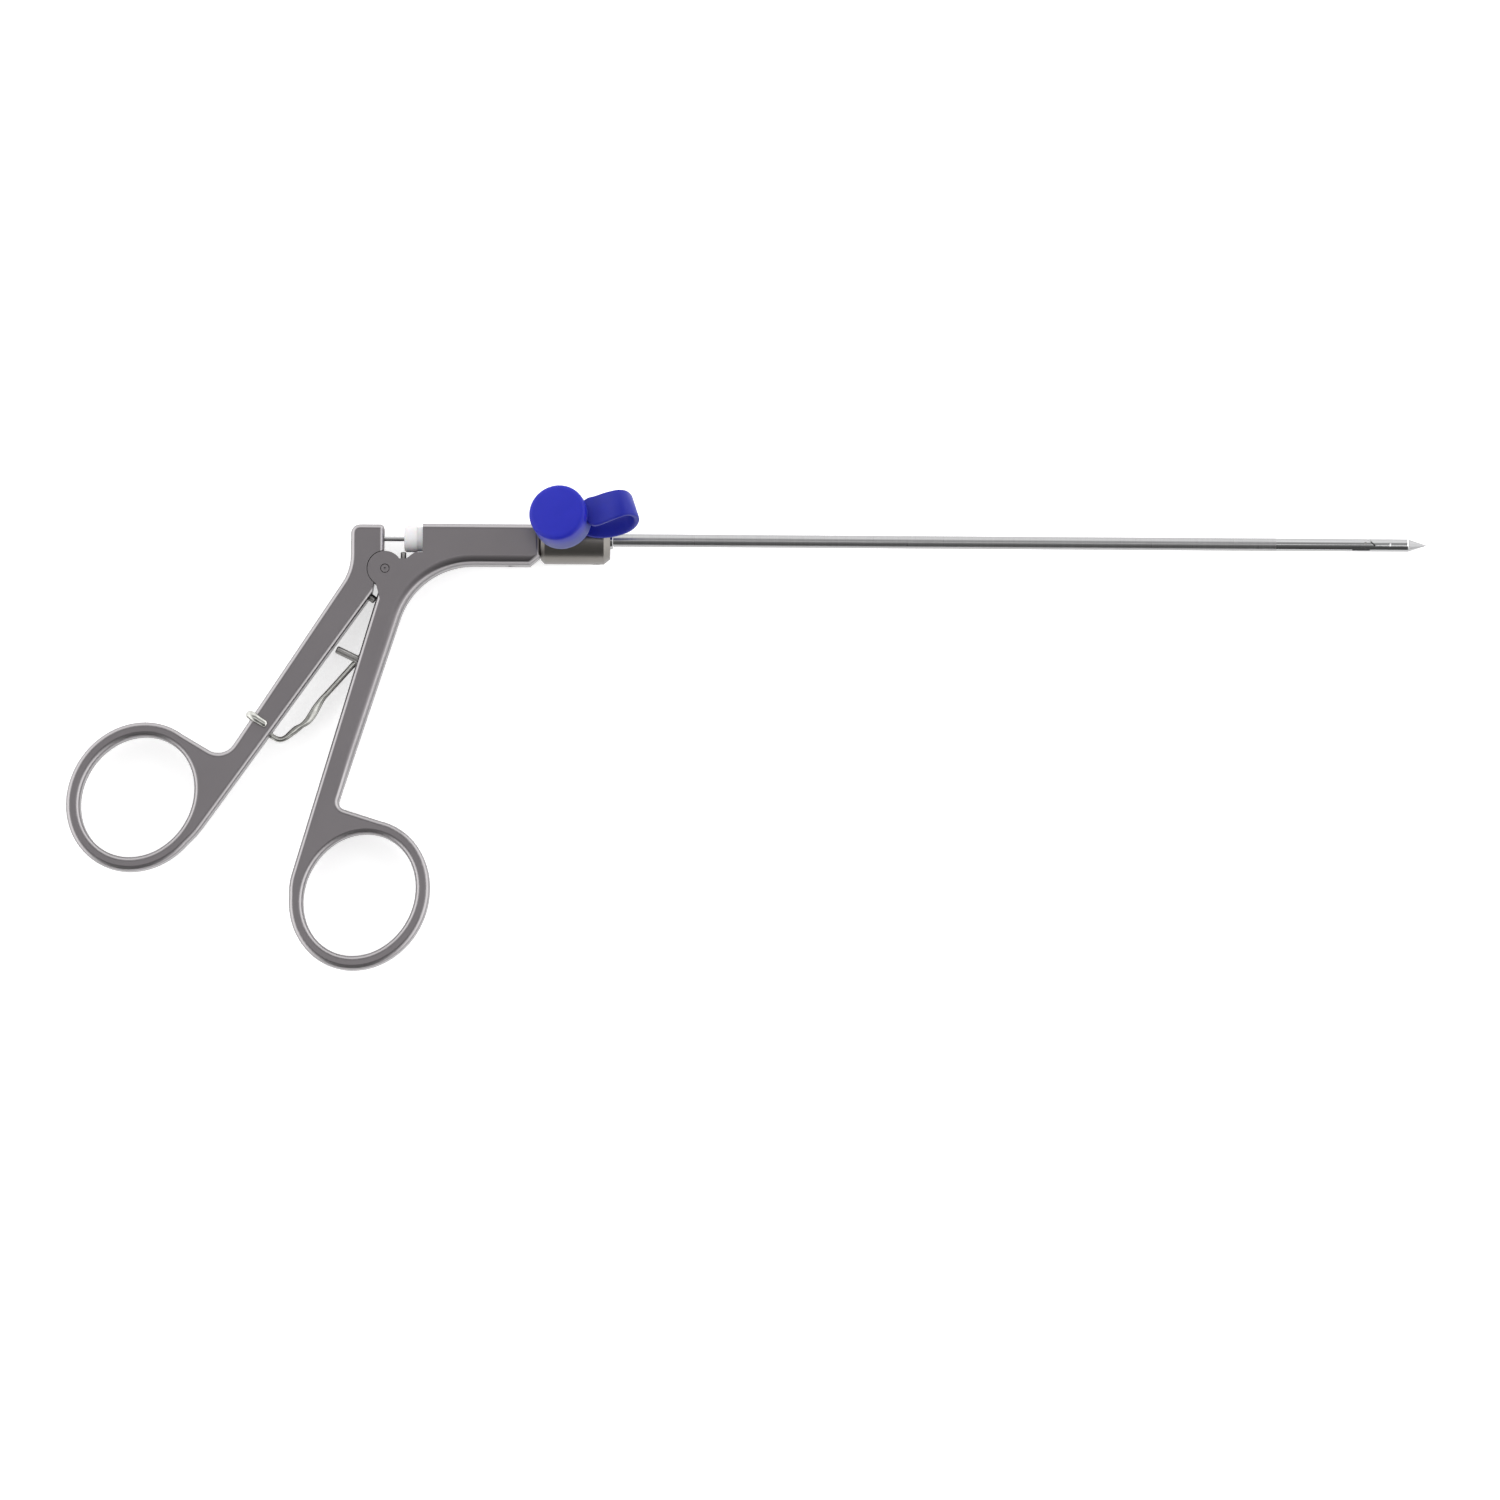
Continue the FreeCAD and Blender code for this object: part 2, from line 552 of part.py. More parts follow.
def make_front_handle():
    """The forged front handle: barrel, curved shank, finger ring and the two round cheeks of the hinge."""
    body = new_body("front_handle")
    outer_long = "(ring_long + ring_band)"
    outer_short = "(ring_short + ring_band)"
    turned_long = outer_long + " * cos(front_ring_turn)"
    turned_short = outer_short + " * sin(front_ring_turn)"
    ring_reach = "sqrt((" + turned_long + ") ^ 2 + (" + turned_short + ") ^ 2)"
    side_drop = (
        "(" + outer_long + " ^ 2 - " + outer_short + " ^ 2) * sin(front_ring_turn) * cos(front_ring_turn) / "
        + ring_reach
    )
    kink = ("-front_ring_x - " + ring_reach, "-front_ring_y + front_kink_y")
    side = ("-front_ring_x - " + ring_reach + " + soft_gap", "-front_ring_y - " + side_drop)
    leave = ring_point(*FRONT_RING, "front_ring_turn", "front_web_turn")
    web = web_corner(*FRONT_RING, "front_ring_turn", "front_web_turn", "(-front_web_long)")
    plan = outline(new_sketch(body, "plan"), [
        (BARREL_BACK, "barrel_top"),
        (BARREL_FRONT, "barrel_top"),
        (BARREL_FRONT, "-barrel_low + nose_high"),
        ("-barrel_front - nose_long", "-barrel_low"),
        ("-neck_x", "-barrel_low"),
        web,
        leave,
        side,
        kink,
        ("-front_back_x", "-front_back_y"),
        ("-front_heel_x", "-front_heel_y"),
        ("-pivot_back + 1", "-pivot_drop + 1"),
        ("-notch_back", "-notch_floor"),
        ("-notch_front", "-notch_floor"),
        ("-notch_top", "-notch_lip"),
        (BARREL_BACK, "-notch_lip"),
    ])
    pad(body, "plate", plan, "plate")
    ring = oval(new_sketch(body, "ring_outside"), *FRONT_RING, "ring_long + ring_band",
                "ring_short + ring_band", "front_ring_turn")
    pad(body, "ring", ring, "plate")
    hole = oval(new_sketch(body, "ring_inside"), *FRONT_RING, "ring_long", "ring_short", "front_ring_turn")
    cut_through(body, "finger_hole", hole, "2 * plate")
    neck = upright_edge(body.Shape, "-neck_x", "-barrel_low")
    soften(body, "neck_curve", "Fillet", [neck], "neck_round")
    soften(body, "root_curve", "Fillet", [upright_edge(body.Shape, *web)], "front_root_round")
    soften(body, "back_curve", "Fillet", [upright_edge(body.Shape, *kink)], "front_back_round")
    level = value("plate / 2")
    back_face = value(BARREL_BACK + " + fit_gap")
    hinge = V(value(PIVOT[0]), value(PIVOT[1]), 0)

    def on_outline(middle):
        spot = V(middle.x, middle.y, 0)
        near_hinge = spot.distanceToPoint(hinge) < value("2 * boss_radius")
        at_notch = middle.x < back_face and middle.y > value("-pivot_drop")
        return not (near_hinge or at_notch)

    soften(body, "round", "Fillet", edges_at_level(body.Shape, level, on_outline), "edge_round")
    boss = circle(new_sketch(body, "boss_plan"), *PIVOT, "boss_radius")
    pad(body, "cheeks", boss, "plate")
    slot = circle(new_sketch(body, "slot_plan"), *PIVOT, "tongue_radius + tongue_gap")
    cut_through(body, "hinge_slot", slot, "tongue_plate + 2 * cheek_gap")
    mouth = outline(new_sketch(body, "mouth_plan"), [
        PIVOT,
        (PIVOT[0] + " + slot_mouth", PIVOT[1] + " + boss_radius + slot_mouth"),
        (PIVOT[0] + " - boss_radius - slot_mouth", PIVOT[1] + " + boss_radius + slot_mouth"),
        (PIVOT[0] + " - boss_radius - slot_mouth", PIVOT[1] + " - boss_radius - slot_mouth"),
        (PIVOT[0] + " - boss_radius / 3", PIVOT[1] + " - boss_radius - slot_mouth"),
    ])
    cut_through(body, "slot_mouth", mouth, "tongue_plate + 2 * cheek_gap")
    drill(body, "pin_hole", "pivot_radius + fit_gap", "2 * plate", *PIVOT, "-plate", UPRIGHT)
    drill(body, "rod_bore", "barrel_bore", "barrel_back - barrel_front + 2", "-barrel_back - 1", "0", "0", ALONG_X)
    drill(body, "gland_bore", "gland_radius + fit_gap", "nut_shank + seal_length + soft_gap + 1",
          "-barrel_back - 1", "0", "0", ALONG_X)
    drill(body, "spigot_bore", "spigot_radius + fit_gap", "spigot_length + joint_gap + 1",
          "-barrel_front - spigot_length - joint_gap", "0", "0", ALONG_X)
    drill(body, "screw_hole", "barrel_screw_radius + fit_gap", "barrel_low + 1",
          "-barrel_screw_x", "-barrel_low - 1", "0", ALONG_Y)
    drill(body, "peg_hole", "peg_radius + fit_gap", "peg_seat + 1",
          "-peg_x", "-notch_floor - peg_seat", "0", ALONG_Y)
    drill(body, "post_hole", "post_radius + fit_gap", "post_seat + 3",
          "-post_x - post_seat * cos(post_turn)", "-post_y - post_seat * sin(post_turn)", "0",
          direction("post_turn"))
    drill(body, "spring_hole", "wire_radius + fit_gap", "plate", "-wire_root_x", "-wire_root_y",
          "-wire_level", towards("wire_root_x - spring_knee_x", "wire_root_y - spring_knee_y"))
    return body


def make_rear_handle():
    """The rear handle: lever with the ball's socket, hinge tongue, tapering shank and thumb ring."""
    body = new_body("rear_handle")
    leave = ring_point(*REAR_RING, "rear_ring_turn", "rear_web_turn")
    web = web_corner(*REAR_RING, "rear_ring_turn", "rear_web_turn", "rear_web_long")
    side = ring_point(*REAR_RING, "rear_ring_turn", "rear_side_turn")
    foot = ("-rear_ring_x + rear_foot_x", "-rear_ring_y - rear_foot_y")
    plan = outline(new_sketch(body, "plan"), [
        ("-lever_back", "lever_top"),
        ("-lever_front", "lever_top"),
        ("-lever_front", "-pivot_drop + boss_radius"),
        ("-rear_heel_x", "-pivot_drop"),
        ("-rear_front_x", "-rear_front_y"),
        foot,
        side,
        ("-rear_ring_x + ring_short / 2", "-rear_ring_y - ring_short / 3"),
        leave,
        web,
        ("-lever_back", "-lever_bend"),
    ])
    pad(body, "plate", plan, "plate")
    ring = oval(new_sketch(body, "ring_outside"), *REAR_RING, "ring_long + ring_band",
                "ring_short + ring_band", "rear_ring_turn")
    pad(body, "ring", ring, "plate")
    hole = oval(new_sketch(body, "ring_inside"), *REAR_RING, "ring_long", "ring_short", "rear_ring_turn")
    cut_through(body, "thumb_hole", hole, "2 * plate")
    corners = (
        ("back_corner", "-lever_back", "lever_top", "lever_round_back"),
        ("front_corner", "-lever_front", "lever_top", "lever_round_front"),
        ("lever_curve", "-lever_back", "-lever_bend", "lever_bend_round"),
        ("web_curve", *web, "rear_root_round"),
        ("foot_curve", *foot, "rear_foot_round"),
    )
    for name, x, y, radius in corners:
        soften(body, name, "Fillet", [upright_edge(body.Shape, x, y)], radius)
    level = value("plate / 2")
    hinge = V(value(PIVOT[0]), value(PIVOT[1]), 0)

    def on_outline(middle):
        spot = V(middle.x, middle.y, 0)
        at_hinge = spot.distanceToPoint(hinge) < value("boss_radius + boss_gap")
        lever_face = abs(middle.x + value("lever_front")) < 0.01
        return not (at_hinge or lever_face)

    soften(body, "round", "Fillet", edges_at_level(body.Shape, level, on_outline), "edge_round")
    for name, side in (("upper_recess", 1), ("lower_recess", -1)):
        start = "tongue_plate / 2" if side > 0 else "-tongue_plate / 2 - plate"
        drill(body, name, "boss_radius + boss_gap", "plate", *PIVOT, start, UPRIGHT)
    tongue = circle(new_sketch(body, "tongue_plan"), *PIVOT, "tongue_radius")
    pad(body, "tongue", tongue, "tongue_plate")
    drill(body, "pin_hole", "pivot_radius + run_gap", "2 * plate", *PIVOT, "-plate", UPRIGHT)
    drill(body, "ball_socket", "ball_radius + ball_gap", "socket_floor + lever_top + 1",
          "-ball_back", "-socket_floor", "0", ALONG_Y)
    neck = outline(new_sketch(body, "neck_plan"), [
        ("-ball_back", "-socket_floor + ball_radius / 2"),
        ("-lever_front + 1", "-socket_floor + ball_radius / 2"),
        ("-lever_front + 1", "lever_top + 1"),
        ("-ball_back", "lever_top + 1"),
    ])
    cut_through(body, "rod_slot", neck, "neck_slot")
    drill(body, "limit_hole", "limit_radius + fit_gap", "limit_seat + 1",
          LIMIT_X + " - limit_seat * cos(limit_turn)", LIMIT_Y + " - limit_seat * sin(limit_turn)", "0",
          direction("limit_turn"))
    drill(body, "spring_hole", "wire_radius + 2 * run_gap", "plate", "-wire_exit_x", "-wire_exit_y",
          "-wire_level", towards("wire_exit_x - wire_entry_x", "wire_exit_y - wire_entry_y"))
    return body


def make_pins():
    """The hinge pin, the stop post, the limit screw and the peg in the notch."""
    pin = rod_piece("pivot_pin_bar", "pivot_radius", PIVOT[0], "plate - 0.1", UPRIGHT, PIVOT[1],
                    "-plate / 2 + 0.05")
    doc.recompute()
    riveted = chamfered("pivot_pin_form", pin, (START, END), "pin_chamfer")
    centre = rod_piece("pivot_pin_centre", "pin_centre", PIVOT[0], "plate / 8", UPRIGHT, PIVOT[1],
                       "plate / 2 - plate / 8")
    finished(without("pivot_pin", riveted, centre), "pivot_pin")
    post = rod_piece("stop_post_bar", "post_radius", "-post_x - post_seat * cos(post_turn)",
                     "post_seat + post_length", direction("post_turn"),
                     "-post_y - post_seat * sin(post_turn)")
    doc.recompute()
    finished(chamfered("stop_post", post, (END,), "post_chamfer"), "stop_post")
    limit = rod_piece("limit_screw_bar", "limit_radius", LIMIT_X + " - limit_seat * cos(limit_turn)",
                      "limit_seat + limit_length", direction("limit_turn"),
                      LIMIT_Y + " - limit_seat * sin(limit_turn)")
    doc.recompute()
    finished(chamfered("limit_screw", limit, (END,), "post_chamfer"), "limit_screw")
    peg = rod_piece("notch_peg_bar", "peg_radius", "-peg_x", "notch_floor + peg_seat - peg_top", ALONG_Y,
                    "-notch_floor - peg_seat")
    doc.recompute()
    finished(chamfered("notch_peg", peg, (END,), "pin_chamfer"), "notch_peg")


def make_set_screw(label, radius, x, low, tip):
    """A set screw that stands along Y, with a six-sided socket in its lower end."""
    bar = rod_piece(label + "_bar", radius, x, low + " - (" + tip + ")", ALONG_Y, "-(" + low + ")")
    socket = doc.addObject("Part::Prism", label + "_socket")
    socket.Polygon = 6
    bind(socket, Circumradius="(" + radius + ") * 0.55", Height="(" + radius + ") * 1.2")
    place(socket, x, "-(" + low + ")", "0", ALONG_Y)
    doc.recompute()
    finished(without(label, bar, socket), label)


def make_gland():
    """The white nut around the rod and the seal that it presses into the barrel."""
    nut = new_body("sealing_nut")
    turned(nut, "form", [
        ("-nut_back", "rod_radius + run_gap"),
        ("-nut_back", "nut_radius"),
        ("-barrel_back - nut_step", "nut_radius"),
        ("-barrel_back - nut_step", "nut_radius - nut_step_drop"),
        (BARREL_BACK, "nut_radius - nut_step_drop"),
        (BARREL_BACK, "gland_radius"),
        ("-barrel_back + nut_shank", "gland_radius"),
        ("-barrel_back + nut_shank", "rod_radius + run_gap"),
    ])
    rim = [name for name in round_edges(nut.Shape, "-nut_back", "nut_radius")]
    soften(nut, "rim", "Fillet", rim, "nut_round")
    seal = new_body("rod_seal")
    turned(seal, "form", [
        ("-barrel_back + nut_shank + soft_gap", "rod_radius + fit_gap"),
        ("-barrel_back + nut_shank + soft_gap", "gland_radius"),
        ("-barrel_back + nut_shank + seal_length", "gland_radius"),
        ("-barrel_back + nut_shank + seal_length", "rod_radius + fit_gap"),
    ])


def make_rod():
    """The pull rod with its ball and the forked driver at the jaw."""
    finished(rod_piece("pull_rod", "rod_radius", "-ball_back + fit_gap",
                       DRIVER_BACK + " + driver_seat + ball_back - fit_gap"), "pull_rod")
    ball = doc.addObject("Part::Sphere", "rod_ball_sphere")
    bind(ball, Radius="ball_radius")
    place(ball, "-ball_back")
    bore = rod_piece("rod_ball_bore", "rod_radius + fit_gap", "-ball_back", "2 * ball_radius")
    finished(without("rod_ball", ball, bore), "rod_ball")

    driver = new_body("rod_end")
    front = LINK_X + " + driver_lip"
    turned(driver, "form", [
        (DRIVER_BACK, "rod_radius + fit_gap"),
        (DRIVER_BACK, "driver_radius"),
        (front, "driver_radius"),
        (front, "0"),
        (DRIVER_BACK + " + driver_seat", "0"),
        (DRIVER_BACK + " + driver_seat", "rod_radius + fit_gap"),
    ])
    flat = outline(new_sketch(driver, "flat_plan"), [
        (LINK_X + " - driver_milled", "-driver_flat"),
        (LINK_X + " + driver_lip + 1", "-driver_flat"),
        (LINK_X + " + driver_lip + 1", "2 * driver_radius"),
        (LINK_X + " - driver_milled", "2 * driver_radius"),
    ])
    cut_through(driver, "flat", flat, "4 * driver_radius")
    sides = outline(new_sketch(driver, "fork_plan"), [
        (LINK_X + " - driver_milled", "-2 * driver_radius"),
        (LINK_X + " + driver_lip + 1", "-2 * driver_radius"),
        (LINK_X + " + driver_lip + 1", "2 * driver_radius"),
        (LINK_X + " - driver_milled", "2 * driver_radius"),
    ])
    cut_through(driver, "fork_slot", sides, "tang_plate + 2 * tang_gap")
    eye = outline(new_sketch(driver, "eye_plan"), [
        (LINK_X + " - link_radius - run_gap", "jaw_rise - link_arm - link_radius - run_gap"),
        (LINK_X + " + link_radius + run_gap", "jaw_rise - link_arm - link_radius - run_gap"),
        (LINK_X + " + link_radius + run_gap", LINK_Y + " + link_radius + run_gap"),
        (LINK_X + " - link_radius - run_gap", LINK_Y + " + link_radius + run_gap"),
    ])
    cut_through(driver, "eye", eye, "4 * driver_radius")


def make_housing():
    """The turned connector housing, its sealing ring, the tube and the tube's collar."""
    housing = new_body("connector_housing")
    back = "(-barrel_front + joint_gap)"
    front = "-housing_front"
    turned(housing, "form", [
        ("-barrel_front - spigot_length", "barrel_bore"),
        ("-barrel_front - spigot_length", "spigot_radius"),
        ("-groove_back", "spigot_radius"),
        ("-groove_back", "spigot_radius - groove_depth"),
        ("-groove_back + groove_width", "spigot_radius - groove_depth"),
        ("-groove_back + groove_width", "spigot_radius"),
        (back, "spigot_radius"),
        (back, "housing_radius - housing_chamfer"),
        (back + " + housing_chamfer", "housing_radius"),
        (front + " - housing_bevel_long", "housing_radius"),
        (front, "housing_radius - housing_bevel_high"),
        (front, "collar_radius + fit_gap"),
        ("-collar_length - fit_gap", "collar_radius + fit_gap"),
        ("-collar_length - fit_gap", "tube_seat + fit_gap"),
        ("-tube_back", "tube_seat + fit_gap"),
        ("-tube_back", "chamber_radius"),
        ("-chamber_back", "chamber_radius"),
        ("-chamber_back", "barrel_bore"),
    ])
    drill(housing, "port_seat", "port_radius + fit_gap", "2 * housing_radius",
          *port_point("port_root"), PORT_TURN)
    drill(housing, "port_channel", "port_bore", "housing_radius", *port_point("0"), PORT_TURN)
    drill(housing, "screw_hole", "housing_screw_radius + fit_gap", "housing_radius - collar_radius + 1",
          "-housing_screw_x", "-housing_radius - 1", "0", ALONG_Y)

    seal = doc.addObject("Part::Torus", "housing_seal")
    bind(seal, Radius1="spigot_radius + fit_gap / 2 - ring_section", Radius2="ring_section")
    place(seal, "-groove_back + groove_width / 2", "0", "0", ALONG_X)
    finished(seal, "housing_seal")

    tube = new_body("outer_tube")
    turned(tube, "form", [
        ("-tube_back", "tube_bore"),
        ("-tube_back", "tube_seat"),
        ("0", "tube_seat"),
        ("0", "tube_radius"),
        ("tube_length", "tube_radius"),
        ("tube_length", "tube_bore"),
    ])
    collar = new_body("tube_collar")
    turned(collar, "form", [
        ("-collar_length", "tube_seat + fit_gap"),
        ("-collar_length", "collar_radius"),
        ("-shoulder_gap - pin_chamfer", "collar_radius"),
        ("-shoulder_gap", "collar_radius - pin_chamfer"),
        ("-shoulder_gap", "tube_seat + fit_gap"),
    ])


PORT_AXIS = V(-math.sin(math.radians(value("port_turn"))), math.cos(math.radians(value("port_turn"))), 0)
PORT_TURN = FreeCAD.Rotation(PORT_AXIS, value("port_tilt"))


def port_point(height):
    """The formulas of a point on the port's axis at a height above the tube's axis."""
    return (
        "-port_back + (" + height + ") * sin(port_tilt) * cos(port_turn)",
        "(" + height + ") * sin(port_tilt) * sin(port_turn)",
        "(" + height + ") * cos(port_tilt)",
    )


def stand_on_port(body):
    """Lays a piece that was made around Z along the port's own axis."""
    place(body, *port_point("0"), PORT_TURN)


def make_port():
    """The flushing port, its cap, and the eyelet and strap that hold the cap."""
    port = new_body("luer_port")
    turned(port, "form", [
        ("port_bore", "port_root"),
        ("port_radius", "port_root"),
        ("port_radius", "port_head"),
        ("port_head_radius", "port_head + port_head_radius - port_radius"),
        ("port_head_radius", "port_top - lug_height"),
        ("lug_radius", "port_top - lug_height"),
        ("lug_radius", "port_top"),
        ("port_mouth", "port_top"),
        ("port_mouth - luer_taper * (port_top - port_head)", "port_head"),
        ("port_bore", "port_head"),
    ], "XZ_Plane", "V_Axis")
    stand_on_port(port)
    cap = new_body("sealing_cap")
    turned(cap, "form", [
        ("0", "cap_top"),
        ("cap_radius", "cap_top"),
        ("cap_radius", "cap_low"),
        ("cap_cavity", "cap_low"),
        ("cap_cavity", "cap_top - cap_wall_top"),
        ("cap_plug", "cap_top - cap_wall_top"),
        ("cap_plug", "cap_top - cap_wall_top - cap_plug_length"),
        ("0", "cap_top - cap_wall_top - cap_plug_length"),
    ], "XZ_Plane", "V_Axis")
    rim = []
    for number, edge in enumerate(cap.Shape.Edges, start=1):
        box = edge.BoundBox
        if box.ZLength < NEAR and abs(box.ZMax - value("cap_top")) < NEAR:
            rim.append("Edge%d" % number)
    soften(cap, "rim", "Fillet", rim, "cap_round")
    stand_on_port(cap)
    eyelet = new_body("strap_ring")
    turned(eyelet, "form", [
        ("port_radius + soft_gap", "eyelet_low"),
        ("eyelet_radius", "eyelet_low"),
        ("eyelet_radius", "eyelet_low + eyelet_height"),
        ("port_radius + soft_gap", "eyelet_low + eyelet_height"),
    ], "XZ_Plane", "V_Axis")
    stand_on_port(eyelet)
    make_strap()


def make_strap():
    """The flat strap: a loop from the cap's side out along the tube and back to the eyelet."""
    root = value("strap_root")
    foot = value("eyelet_low + eyelet_height / 2")
    reach = value("strap_reach") - value("strap_plate") / 2
    thick = value("strap_plate")
    wide = value("strap_width")
    cap_side = value("cap_radius + soft_gap")
    ring_side = value("eyelet_radius + soft_gap")
    bulge = value("strap_bulge")
    points = [
        V(cap_side - thick * 2, 0, root),
        V(cap_side + thick * 2, 0, root),
        V(reach, 0, root + bulge),
        V(reach, 0, foot - bulge / 2),
        V(ring_side + thick * 3, 0, foot),
        V(ring_side - thick * 2, 0, foot),
    ]
    radii = [thick * 3, (root - foot) * 0.42, (root - foot) * 0.42, thick * 3]
    path = smooth_path(points, radii)
    section = Part.makePolygon([
        points[0] + V(0, -wide / 2, -thick / 2),
        points[0] + V(0, wide / 2, -thick / 2),
        points[0] + V(0, wide / 2, thick / 2),
        points[0] + V(0, -wide / 2, thick / 2),
        points[0] + V(0, -wide / 2, -thick / 2),
    ])
    ribbon = path.makePipeShell([section], True, False)
    low = value("eyelet_low") - 3 * thick
    ribbon = ribbon.cut(Part.makeCylinder(cap_side, value("cap_top"), V(0, 0, value("cap_low") - thick)))
    ribbon = ribbon.cut(Part.makeCylinder(ring_side, value("cap_low") - thick - low, V(0, 0, low)))
    strap = doc.addObject("Part::Feature", "cap_strap")
    strap.Shape = ribbon
    spot = V(*[value(part) for part in port_point("0")])
    turn = PORT_TURN.multiply(FreeCAD.Rotation(V(0, 0, 1), value("strap_turn")))
    strap.Placement = FreeCAD.Placement(spot, turn)
    finished(strap, "cap_strap")


def make_tip():
    """The polished tip with its point, and the jaw with its two pins."""
    tip = new_body("tip_body")
    turned(tip, "form", [
        ("tube_length", "tip_bore"),
        ("tube_length", "tube_radius"),
        (TIP_END + " - cone_length", "tube_radius"),
        (TIP_END, "cone_end"),
        (TIP_END, "0"),
        (TIP_END + " - bore_front", "0"),
        (TIP_END + " - bore_front", "tip_bore"),
    ])
    above = "2 * tube_radius"
    heel_top = TIP_END + " - heel_back - heel_gap / 2 - tube_radius"
    heel_low = TIP_END + " - heel_back - heel_gap / 2 + tube_radius + seam_drop + seam_gap"
    seat = outline(new_sketch(tip, "seat_plan"), [
        (heel_low, "-seam_drop - seam_gap"),
        (TIP_END + " - jaw_front + nose_gap", "-seam_drop - seam_gap"),
        (TIP_END + " - jaw_front + nose_gap", above),
        (heel_top, above),
    ])
    cut_through(tip, "jaw_seat", seat, "4 * tube_radius")
    tang = outline(new_sketch(tip, "tang_plan"), [
        (JAW_X + " - jaw_hub - tang_gap", "-seam_drop - seam_gap"),
        (heel_low, "-seam_drop - seam_gap"),
        (heel_low, above),
        (JAW_X + " - jaw_hub - tang_gap", above),
    ])
    cut_through(tip, "tang_slot", tang, "tang_plate + 2 * tang_gap")
    for name, side in (("near_flat", 1), ("far_flat", -1)):
        mill(tip, name, "flat_back - flat_front", "2 * tube_radius", "tube_radius",
             TIP_END + " - flat_back", FreeCAD.Rotation(V(1, 0, 0), side * value("flat_turn")), "flat_level")
    drill(tip, "pin_hole", "jaw_pin_radius + fit_gap / 2", "4 * tube_radius", JAW_X, "jaw_rise",
          "-2 * tube_radius", UPRIGHT)

    jaw = new_body("jaw")
    turned(jaw, "form", [
        (JAW_X, "0"),
        (JAW_X, "tube_radius"),
        (TIP_END + " - jaw_front", "tube_radius"),
        (TIP_END + " - jaw_front", "0"),
    ])
    heel_top = TIP_END + " - heel_back + heel_gap / 2 - tube_radius"
    heel_low = TIP_END + " - heel_back + heel_gap / 2 + tube_radius + seam_drop"
    below = outline(new_sketch(jaw, "below_plan"), [
        (JAW_X + " - 1", "2 * tube_radius"),
        (JAW_X + " - 1", "-2 * tube_radius"),
        (TIP_END, "-2 * tube_radius"),
        (TIP_END, "-seam_drop"),
        (heel_low, "-seam_drop"),
        (heel_top, "2 * tube_radius"),
    ])
    cut_through(jaw, "flat_face", below, "4 * tube_radius")
    arm = outline(new_sketch(jaw, "arm_plan"), [
        (JAW_X + " - jaw_hub * 0.4", "jaw_rise + jaw_hub * 0.9"),
        (JAW_X + " + jaw_hub * 0.4", "jaw_rise - jaw_hub * 0.9"),
        (heel_low + " + jaw_hub", "-seam_drop"),
        (heel_low + " + jaw_hub", "jaw_rise + jaw_hub"),
    ])
    pad(jaw, "tang_arm", arm, "tang_plate")
    hub = circle(new_sketch(jaw, "hub_plan"), JAW_X, "jaw_rise", "jaw_hub")
    pad(jaw, "tang_hub", hub, "tang_plate")
    crank = outline(new_sketch(jaw, "crank_plan"), [
        (JAW_X + " - link_hub * cos(jaw_open / 2)", "jaw_rise + link_hub * sin(jaw_open / 2)"),
        (LINK_X + " - link_hub * cos(jaw_open / 2)", LINK_Y + " + link_hub * sin(jaw_open / 2)"),
        (LINK_X + " + link_hub * cos(jaw_open / 2)", LINK_Y + " - link_hub * sin(jaw_open / 2)"),
        (JAW_X + " + link_hub * cos(jaw_open / 2)", "jaw_rise - link_hub * sin(jaw_open / 2)"),
    ])
    pad(jaw, "tang_crank", crank, "tang_plate")
    lobe = circle(new_sketch(jaw, "lobe_plan"), LINK_X, LINK_Y, "link_hub")
    pad(jaw, "tang_lobe", lobe, "tang_plate")
    drill(jaw, "pin_hole", "jaw_pin_radius + run_gap / 2", "4 * tube_radius", JAW_X, "jaw_rise",
          "-2 * tube_radius", UPRIGHT)
    drill(jaw, "link_hole", "link_radius + fit_gap / 2", "4 * tube_radius", LINK_X, LINK_Y,
          "-2 * tube_radius", UPRIGHT)
    notch = outline(new_sketch(jaw, "stitch_plan"), [
        (TIP_END + " - stitch_back - stitch_width / 2", "-1"),
        (TIP_END + " - stitch_back + stitch_width / 2", "-1"),
        (TIP_END + " - stitch_back + stitch_width / 2", "-seam_drop + stitch_depth"),
        (TIP_END + " - stitch_back - stitch_width / 2", "-seam_drop + stitch_depth"),
    ])
    cut_through(jaw, "stitch_notch", notch, "4 * tube_radius")

    half = "sqrt(tube_radius ^ 2 - (jaw_rise + jaw_pin_radius) ^ 2) - run_gap"
    finished(rod_piece("jaw_pin", "jaw_pin_radius", JAW_X, "2 * (" + half + ")", UPRIGHT, "jaw_rise",
                       "-(" + half + ")"), "jaw_pin")
    half = "sqrt(tip_bore ^ 2 - (link_arm - jaw_rise + link_radius) ^ 2) - run_gap"
    finished(rod_piece("link_pin", "link_radius", LINK_X, "2 * (" + half + ")", UPRIGHT, LINK_Y,
                       "-(" + half + ")"), "link_pin")


